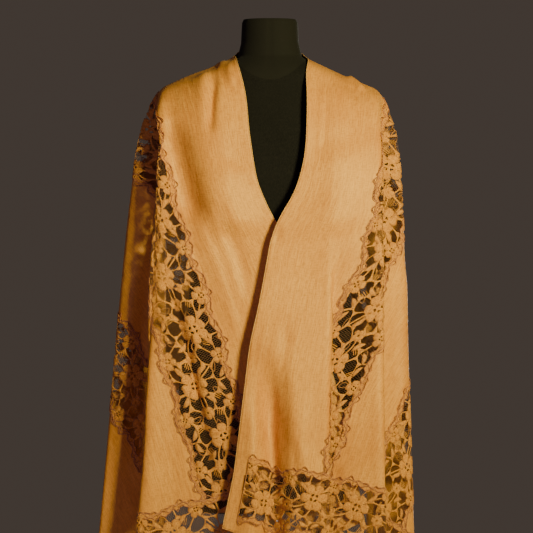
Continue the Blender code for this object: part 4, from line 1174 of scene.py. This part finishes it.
def repeat_tree():
    """Copies of a flat repeat in a row, joined into one mesh."""
    tree, given = new_tree("lace_repeats", (("repeats", "Int"), ("first place", "Float"),
                                            ("repeat length", "Float"), ("lace", "Material")))
    places = tree.nodes.new("GeometryNodeMeshLine")
    start = tree.nodes.new("ShaderNodeCombineXYZ")
    offset = tree.nodes.new("ShaderNodeCombineXYZ")
    copies = tree.nodes.new("GeometryNodeInstanceOnPoints")
    link = tree.links.new
    link(given.outputs["repeats"], places.inputs["Count"])
    link(given.outputs["first place"], start.inputs["X"])
    link(given.outputs["repeat length"], offset.inputs["X"])
    link(start.outputs[0], places.inputs["Start Location"])
    link(offset.outputs[0], places.inputs["Offset"])
    link(places.outputs[0], copies.inputs["Points"])
    link(given.outputs["Geometry"], copies.inputs["Instance"])
    close_tree(tree, copies.outputs[0], given.outputs["lace"], JOIN_DISTANCE)
    return tree


def cord_tree():
    """A round cord along every chain of edges."""
    tree, given = new_tree("cords", (("cord radius", "Float"), ("cord", "Material")))
    path = tree.nodes.new("GeometryNodeMeshToCurve")
    ring = tree.nodes.new("GeometryNodeCurvePrimitiveCircle")
    ring.inputs["Resolution"].default_value = CORD_SIDES
    tube = tree.nodes.new("GeometryNodeCurveToMesh")
    tube.inputs["Fill Caps"].default_value = True
    link = tree.links.new
    link(given.outputs["Geometry"], path.inputs[0])
    link(given.outputs["cord radius"], ring.inputs["Radius"])
    link(path.outputs[0], tube.inputs["Curve"])
    link(ring.outputs[0], tube.inputs["Profile Curve"])
    close_tree(tree, tube.outputs[0], given.outputs["cord"])
    return tree


def run_tree(piece, tree, values):
    """The mesh that a Geometry Nodes tree makes of the piece; the piece goes."""
    modifier = piece.modifiers.new(tree.name, "NODES")
    modifier.node_group = tree
    for item in tree.interface.items_tree:
        if item.in_out == "INPUT" and item.name in values:
            modifier[item.identifier] = values[item.name]
    bpy.context.view_layer.update()
    result = bpy.data.meshes.new_from_object(piece.evaluated_get(
        bpy.context.evaluated_depsgraph_get()))
    bpy.data.objects.remove(piece)
    return result


def mesh_arrays(mesh):
    """A mesh's points and triangles."""
    points = np.empty(len(mesh.vertices) * 3)
    mesh.vertices.foreach_get("co", points)
    faces = np.array([tuple(polygon.vertices) for polygon in mesh.polygons])
    return points.reshape(-1, 3), faces


def band_faces(repeat, tree, first, count, stop, material):
    """Repeats in a row, cut off square at both ends: flat points, faces and relief."""
    flat, faces, height = repeat
    piece = make_piece("lace_repeat", np.column_stack((flat, height)), faces, material)
    mesh = run_tree(piece, tree, {"repeats": count, "first place": first,
                                  "repeat length": LACE_REPEAT, "lace": material})
    model = bmesh.new()
    model.from_mesh(mesh)
    bpy.data.meshes.remove(mesh)
    for place, direction in ((stop[0], -1.0), (stop[1], 1.0)):
        everything = model.verts[:] + model.edges[:] + model.faces[:]
        bmesh.ops.bisect_plane(model, geom=everything, dist=1e-6, plane_co=(place, 0.0, 0.0),
                               plane_no=(direction, 0.0, 0.0), clear_outer=True)
    bmesh.ops.triangulate(model, faces=model.faces[:])
    cut = bpy.data.meshes.new("cut")
    model.to_mesh(cut)
    model.free()
    points, faces = mesh_arrays(cut)
    bpy.data.meshes.remove(cut)
    return points[:, :2], faces, points[:, 2]


def cord_paths(cords, first, count, stop, kinds):
    """Paths of the cords of repeats in a row, cut off at both ends."""
    paths = []
    for k in range(count):
        for kind, path in cords:
            if kind not in kinds:
                continue
            moved = path + (first + k * LACE_REPEAT, 0.0)
            outside = (moved[:, 0] < stop[0]) | (moved[:, 0] > stop[1])
            breaks = np.flatnonzero(np.diff(outside)) + 1
            runs = zip(np.split(moved, breaks), np.split(outside, breaks))
            paths += [run for run, cut in runs if len(run) > 1 and not cut[0]]
    return paths


def cords_on(sheet, name, paths, lift, tubes, radius, material):
    """Round cords laid on the hung sheet along flat paths."""
    points = []
    edges = []
    for path in paths:
        edges += [(len(points) + k, len(points) + k + 1) for k in range(len(path) - 1)]
        points += list(path)
    world = sheet.lay(np.array(points), np.full(len(points), lift))
    mesh = bpy.data.meshes.new("cord_paths")
    mesh.from_pydata(world.tolist(), edges, [])
    result = run_tree(add_object("cord_paths", mesh), tubes,
                      {"cord radius": radius, "cord": material})
    result.shade_smooth()
    return add_object(name, result)


def net_paths(stop, pieces=12):
    """Flat paths of the net's slanted threads, from one border of a band to the other."""
    paths = []
    run = 1.0 / math.tan(NET_SLANT)
    gap = NET_PITCH / math.sin(NET_SLANT)
    for direction in (-run, run):
        first = stop[0] - HALF_BAND * run
        middles = first + gap * np.arange(int((stop[1] - stop[0] + 2 * HALF_BAND * run) / gap))
        low = high = np.full(len(middles), HALF_BAND)
        for _ in range(3):
            low = HALF_BAND - NET_INSET + border_wave(middles - low * direction, "low")
            high = HALF_BAND - NET_INSET + border_wave(middles + high * direction, "high")
        for middle, below, above in zip(middles, low, high):
            across = np.linspace(-below, above, pieces + 1)
            path = np.stack((middle + across * direction, across), axis=1)
            path = path[(path[:, 0] >= stop[0]) & (path[:, 0] <= stop[1])]
            if len(path) > 1:
                paths.append(path)
    return paths


def rolled_edge(sheet, tubes, material, step=0.006):
    """The narrow rolled edge all round the shawl."""
    half = CLOTH_LENGTH / 2 - EDGE_INSET
    corners = ((-half, EDGE_INSET), (half, EDGE_INSET), (half, CLOTH_WIDTH - EDGE_INSET),
               (-half, CLOTH_WIDTH - EDGE_INSET), (-half, EDGE_INSET))
    paths = []
    for start, end in zip(corners, corners[1:]):
        count = round(math.dist(start, end) / step)
        t = np.linspace(0.0, 1.0, count + 1)[:, None]
        paths.append(np.array(start) * (1 - t) + np.array(end) * t)
    piece = cords_on(sheet, "shawl_rolled_edge", paths, EDGE_LIFT, tubes, EDGE_RADIUS, material)
    return piece


# ---------------------------------------------------------------- materials
class Finish:
    """Builds one material's nodes."""

    def __init__(self, name, colour, roughness, **sockets):
        self.material = bpy.data.materials.new(name)
        self.material.use_nodes = True
        self.tree = self.material.node_tree
        self.shader = self.tree.nodes["Principled BSDF"]
        self.shader.inputs["Base Color"].default_value = (*colour, 1.0)
        self.shader.inputs["Roughness"].default_value = roughness
        for socket, value in sockets.items():
            self.shader.inputs[socket.replace("_", " ")].default_value = value

    def node(self, kind, inputs=(), **settings):
        node = self.tree.nodes.new(kind)
        for key, value in settings.items():
            setattr(node, key, value)
        for key, value in dict(inputs).items():
            if isinstance(value, bpy.types.NodeSocket):
                self.tree.links.new(value, node.inputs[key])
            else:
                node.inputs[key].default_value = value
        return node

    def scaled(self, places, scale):
        return self.node("ShaderNodeMapping", {"Vector": places, "Scale": scale}).outputs["Vector"]

    def flat_place(self, scale=(1.0, 1.0, 1.0)):
        """The cloth's flat places, in metres, scaled."""
        return self.scaled(self.node("ShaderNodeUVMap", uv_map="flat").outputs["UV"], scale)

    def place(self, scale=(1.0, 1.0, 1.0)):
        """Places on the object, in metres, scaled."""
        return self.scaled(self.node("ShaderNodeTexCoord").outputs["Object"], scale)

    def noise(self, place, scale, detail=3.0, roughness=0.55, distortion=0.0):
        return self.node("ShaderNodeTexNoise", {"Vector": place, "Scale": scale, "Detail": detail,
                                                "Roughness": roughness,
                                                "Distortion": distortion}).outputs["Fac"]

    def spread(self, value, low, high, out_low=0.0, out_high=1.0):
        """The value's range from low to high made the range from out_low to out_high."""
        return self.node("ShaderNodeMapRange", {"Value": value, "From Min": low, "From Max": high,
                                                "To Min": out_low,
                                                "To Max": out_high}).outputs["Result"]

    def mix(self, share, a, b):
        """Colour a where the share is 0, colour b where it is 1."""
        a, b = (colour if isinstance(colour, bpy.types.NodeSocket) else (*colour, 1.0)
                for colour in (a, b))
        return self.node("ShaderNodeMix", {0: share, 6: a, 7: b}, data_type="RGBA").outputs[2]

    def maths(self, operation, a, b):
        return self.node("ShaderNodeMath", {0: a, 1: b}, operation=operation).outputs[0]

    def connect(self, socket, value):
        self.tree.links.new(value, self.shader.inputs[socket])

    def bump(self, height, distance, strength):
        node = self.node("ShaderNodeBump", {"Height": height, "Distance": distance,
                                            "Strength": strength})
        self.connect("Normal", node.outputs["Normal"])


def woven_cloth():
    """Fine soft golden tan cloth, its uneven threads running along the shawl."""
    finish = Finish("woven_cloth", (0.62, 0.25, 0.034), 0.52, Sheen_Weight=0.05,
                    Sheen_Roughness=0.4, Sheen_Tint=(1.0, 0.70, 0.28, 1.0),
                    Specular_IOR_Level=0.48, Specular_Tint=(1.0, 0.84, 0.36, 1.0))
    streaks = finish.noise(finish.flat_place((8.0, 210.0, 1.0)), 1.0, 2.0, 0.55, 0.1)
    threads = finish.noise(finish.flat_place((60.0, 520.0, 1.0)), 1.0, 3.0, 0.65)
    cross = finish.noise(finish.flat_place((520.0, 90.0, 1.0)), 1.0, 3.0, 0.65)
    cloud = finish.noise(finish.flat_place(), 9.0, 3.0, 0.5)
    crinkle = finish.noise(finish.flat_place((16.0, 70.0, 1.0)), 1.0, 3.0, 0.5, 0.5)
    weave = finish.maths("ADD", finish.maths("MULTIPLY", threads, 0.6),
                         finish.maths("MULTIPLY", cross, 0.4))
    base = finish.mix(finish.spread(cloud, 0.3, 0.7), (0.600, 0.240, 0.043), (0.715, 0.320, 0.060))
    colour = finish.mix(finish.spread(streaks, 0.32, 0.55, 0.24, 0.0), base, (0.46, 0.164, 0.032))
    colour = finish.mix(finish.spread(streaks, 0.52, 0.72, 0.0, 0.22), colour, (0.78, 0.40, 0.100))
    colour = finish.mix(finish.spread(weave, 0.40, 0.54, 0.62, 0.0), colour, (0.38, 0.134, 0.027))
    finish.connect("Base Color", colour)
    height = finish.maths("ADD", finish.maths("MULTIPLY", weave, 0.45),
                          finish.maths("ADD", finish.maths("MULTIPLY", crinkle, 1.0),
                                       finish.maths("MULTIPLY", streaks, 0.35)))
    finish.bump(height, 0.0013, 0.7)
    return finish.material


def lace_thread():
    """Close stitched lace thread, a little lighter than the ground, with painted shade in its
    hollows.
    """
    finish = Finish("lace_thread", (0.68, 0.33, 0.060), 0.85, Sheen_Weight=0.06,
                    Sheen_Roughness=0.4, Sheen_Tint=(1.0, 0.72, 0.32, 1.0),
                    Specular_IOR_Level=0.15)
    grain = finish.noise(finish.flat_place(), 430.0, 3.0, 0.70)
    stitch = finish.noise(finish.flat_place((110.0, 420.0, 1.0)), 1.0, 2.0, 0.6, 0.8)
    patch = finish.noise(finish.flat_place(), 130.0, 3.0, 0.6)
    base = finish.mix(finish.spread(patch, 0.3, 0.7), (0.540, 0.220, 0.040), (0.715, 0.335, 0.080))
    # Darker where stitch and grain are low, in the hollows of the bump: painted shade.
    colour = finish.mix(finish.spread(stitch, 0.34, 0.50, 0.5, 0.0), base, (0.44, 0.170, 0.036))
    colour = finish.mix(finish.spread(grain, 0.38, 0.54, 0.85, 0.0), colour, (0.36, 0.132, 0.028))
    finish.connect("Base Color", colour)
    finish.bump(finish.maths("ADD", grain, finish.maths("MULTIPLY", stitch, 0.8)), 0.0009, 0.8)
    return finish.material


def cord_thread(name, colour, strand_shade):
    """Twisted thread, with painted shade between its strands."""
    finish = Finish(name, colour, 0.75, Specular_IOR_Level=0.2)
    twist = finish.noise(finish.place(), 700.0, 1.0, 0.5)
    # The colour darkens where the twist is low, in the grooves of the bump: painted shade between
    # the strands.
    finish.connect("Base Color", finish.mix(finish.spread(twist, 0.35, 0.65), strand_shade, colour))
    finish.bump(twist, 0.0004, 0.6)
    return finish.material


def form_jersey():
    """Black knitted cover of the dress form."""
    finish = Finish("form_jersey", (0.0050, 0.0044, 0.0032), 0.85, Sheen_Weight=0.02,
                    Sheen_Roughness=0.5, Specular_IOR_Level=0.15)
    ribs = finish.noise(finish.place((900.0, 900.0, 260.0)), 1.0, 2.0, 0.6)
    cloud = finish.noise(finish.place(), 9.0, 2.0, 0.5)
    where = finish.node("ShaderNodeSeparateXYZ", {0: finish.place()})
    x, z = where.outputs["X"], where.outputs["Z"]
    rise = finish.maths("MULTIPLY", finish.maths("MULTIPLY", x, x), NECK_SEAM[1])
    over_line = finish.maths("SUBTRACT", z, finish.maths("ADD", rise, NECK_SEAM[0]))
    body = finish.mix(finish.spread(cloud, 0.3, 0.7), (0.0024, 0.0021, 0.0015),
                      (0.0042, 0.0038, 0.0028))
    colour = finish.mix(finish.spread(over_line, -0.001, 0.001), body, (0.0085, 0.0080, 0.0056))
    finish.connect("Base Color", finish.mix(finish.spread(ribs, 0.4, 0.7), colour,
                                            (0.0100, 0.0090, 0.0068)))
    finish.bump(ribs, 0.0004, 0.6)
    return finish.material


def brushed_steel():
    """Steel of the stand, brushed round the pole."""
    finish = Finish("brushed_steel", (0.33, 0.33, 0.34), 0.32, Metallic=1.0)
    turn = finish.noise(finish.place((1.0, 1.0, 220.0)), 3.0, 3.0, 0.6)
    finish.connect("Roughness", finish.spread(turn, 0.2, 0.8, 0.24, 0.42))
    finish.bump(turn, 0.0001, 0.3)
    return finish.material


def pale_floor():
    finish = Finish("pale_floor", (0.62, 0.61, 0.59), 0.85)
    soft = finish.noise(finish.place(), 1.2, 2.0, 0.5)
    finish.connect("Base Color", finish.mix(finish.spread(soft, 0.3, 0.7), (0.60, 0.59, 0.57),
                                            (0.65, 0.64, 0.62)))
    return finish.material


# ---------------------------------------------------------------- form and stand
def form_piece(material):
    """The covered form: rings through its sections, sewn down the front and round the neck."""
    sides = FORM_SIDES
    top, lowest, step = FORM_RINGS
    heights = np.concatenate((np.arange(top, lowest, -step), [lowest], [row[0] for row in FORM]))
    heights = np.unique(heights)[::-1]
    angle = 2.0 * math.pi * np.arange(sides) / sides
    power = 2.0 / FORM_ROUNDNESS
    across = np.sign(np.cos(angle)) * np.abs(np.cos(angle)) ** power
    deep = np.sign(np.sin(angle)) * np.abs(np.sin(angle)) ** power
    points = []
    for z in heights:
        half_width, half_depth, centre = form_section(z)
        x = half_width * across
        y = half_depth * deep
        over_line = z - NECK_SEAM[0] - NECK_SEAM[1] * x * x
        seam = np.maximum(np.exp(-(x / SEAM_WIDTHS[0]) ** 2) * (y < 0),
                          np.exp(-(over_line / SEAM_WIDTHS[1]) ** 2))
        pull = 1.0 - SEAM_DEPTH * seam / np.hypot(x, y)
        points.append(np.stack((x * pull, y * pull + centre, np.full(sides, z)), axis=1))
    count = len(points)
    points = np.concatenate(points + [np.array(((0.0, FORM[0][3], FORM[0][0]),
                                                (0.0, FORM[-1][3], FORM[-1][0])))])
    faces = []
    for ring in range(count - 1):
        for k in range(sides):
            n = (k + 1) % sides
            a, b = ring * sides, (ring + 1) * sides
            faces.append((b + k, b + n, a + n, a + k))
    last = (count - 1) * sides
    for k in range(sides):
        n = (k + 1) % sides
        faces.append((k, n, count * sides))
        faces.append((last + n, last + k, count * sides + 1))
    return make_piece("dress_form_cover", points, faces, material)


# ---------------------------------------------------------------- light, floor and camera
def soft_light(name, place, aim, size, power, colour, spread):
    light = bpy.data.lights.new(name, "AREA")
    light.shape = "SQUARE"
    light.size = size
    light.energy = power
    light.spread = math.radians(spread)
    light.color = colour
    item = add_object(name, light)
    item.location = place
    item.rotation_euler = (Vector(aim) - Vector(place)).to_track_quat("-Z", "Y").to_euler()


def studio():
    """The floor, the light and the camera."""
    floor = make_piece("floor", [(-6, -8, 0), (6, -8, 0), (6, 6, 0), (-6, 6, 0)], [(0, 1, 2, 3)],
                       pale_floor())
    world = bpy.data.worlds.new("studio")
    world.use_nodes = True
    background = world.node_tree.nodes["Background"].inputs
    background["Color"].default_value, background["Strength"].default_value = WORLD
    bpy.context.scene.world = world
    for light in LIGHTS:
        soft_light(*light)
    camera = bpy.data.cameras.new("camera")
    camera.lens = SENSOR_WIDTH * CAMERA_DISTANCE / VIEW_WIDTH
    camera.clip_end = 60.0
    item = add_object("camera", camera)
    item.location = (VIEW_CENTRE[0], VIEW_CENTRE[1] - CAMERA_DISTANCE, VIEW_CENTRE[2])
    item.rotation_euler = (math.radians(90.0), 0.0, 0.0)
    bpy.context.scene.camera = item


# ---------------------------------------------------------------- putting it together
def long_place(places, level):
    """Flat places on the shawl for places along and across a long band, from its middle."""
    return np.stack((places[:, 0], level + HALF_BAND + places[:, 1]), axis=1)


def end_place(places, sign):
    """Flat places on the shawl for places along and across an end band, from its middle."""
    across = places[:, 0] + SELVEDGE
    near_inner = np.clip(-places[:, 1] / HALF_BAND, 0.0, 1.0)
    shift = border_wave(places[:, 0], "low") * junction(across) * near_inner
    along = END_BAND + HALF_BAND + places[:, 1] + shift
    return np.stack((sign * along, across), axis=1)


def lace_bands():
    """Each band's name, first repeat's place, repeats, cut ends, place on the shawl, and kind."""
    for edge, level in (("upper", UPPER_BAND), ("lower", LOWER_BAND)):
        place = partial(long_place, level=level)
        yield f"lace_left_{edge}", 0.0, LONG_REPEATS, (0.0, END_BAND), place, "long"
        yield (f"lace_right_{edge}", -LONG_REPEATS * LACE_REPEAT, LONG_REPEATS, (-END_BAND, 0.0),
               place, "long")
    for side, sign in (("left", 1.0), ("right", -1.0)):
        yield (f"lace_{side}_end", 0.0, END_REPEATS, (0.0, CLOTH_WIDTH - 2 * SELVEDGE),
               partial(end_place, sign=sign), f"{side} end")


def lace_pieces(sheet, lace, threads):
    """Every lace band with its cords and its net, laid on the hung sheet."""
    flat, faces, height, cords = lace_repeat()
    repeats = repeat_tree()
    tubes = cord_tree()
    pieces = []
    for name, first, count, stop, place, kind in lace_bands():
        thick = LACE_THICK if kind == "long" else END_LACE_THICK
        band_flat, band_tris, relief = band_faces((flat, faces, height), repeats, first, count,
                                                  stop, lace)
        if kind == "left end":      # this place on the shawl turns the band over
            band_tris = band_tris[:, ::-1]
        band = shell(f"{name}_band", sheet, place(band_flat), band_tris, thick, lace, relief)
        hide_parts(name)
        pieces.append(band)
        for kinds in (("border",), ("shade",), ("flower", "leaf")):
            paths = cord_paths(cords, first, count, stop, kinds)
            if kinds[0] == "border" and kind != "long":
                across = np.linspace(-CROSS_CORD_REACH, CROSS_CORD_REACH, 40)
                paths += [np.stack((across * 0.0 + end, across), axis=1) for end in stop]
            paths = [place(path) for path in paths]
            pieces.append(cords_on(sheet, f"{name}_{kinds[0]}_cord", paths, thick[1] + CORD_LIFT,
                                   tubes, CORD_RADIUS[kinds[0]], threads[kinds[0]]))
        pieces.append(cords_on(sheet, f"{name}_net", [place(path) for path in net_paths(stop)],
                               NET_LIFT, tubes, NET_RADIUS, threads["net"]))
    return pieces, tubes


def main():
    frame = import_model()
    sheet = Sheet()
    cloth = woven_cloth()
    lace = lace_thread()
    # The second colour of each thread is the painted shade between its strands.
    threads = {
        "border": cord_thread("mauve_cord", (0.60, 0.270, 0.105), (0.40, 0.158, 0.062)),
        # Dark cords that are painted shadows of the wavy border cords.
        "shade": cord_thread("painted_shadow_cord", (0.30, 0.112, 0.058), (0.17, 0.060, 0.030)),
        "flower": cord_thread("gold_cord", (0.44, 0.207, 0.085), (0.28, 0.122, 0.050)),
        "net": cord_thread("net_thread", (0.44, 0.237, 0.120), (0.30, 0.152, 0.074)),
    }
    flat, faces = ground_mesh()
    ground = shell("shawl_ground", sheet, flat, faces, GROUND_THICK, cloth)
    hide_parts("ground_neck", "ground_middle", "ground_hem", "ground_left_end",
                "ground_right_end")
    pieces, tubes = lace_pieces(sheet, lace, threads)
    # Its second colour is the painted shade between the strands.
    pieces.append(rolled_edge(sheet, tubes, cord_thread("selvedge_thread", (0.74, 0.43, 0.155),
                                                        (0.52, 0.26, 0.080))))
    form = form_piece(form_jersey())
    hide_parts("dress_form")
    steel = brushed_steel()
    for name in ("pole", "base"):
        node = frame["nodes"][name]
        for slot in node.material_slots:
            slot.material = steel
    for piece in (ground, form, *pieces):
        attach(piece, "root")
    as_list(pieces)
    studio()


main()
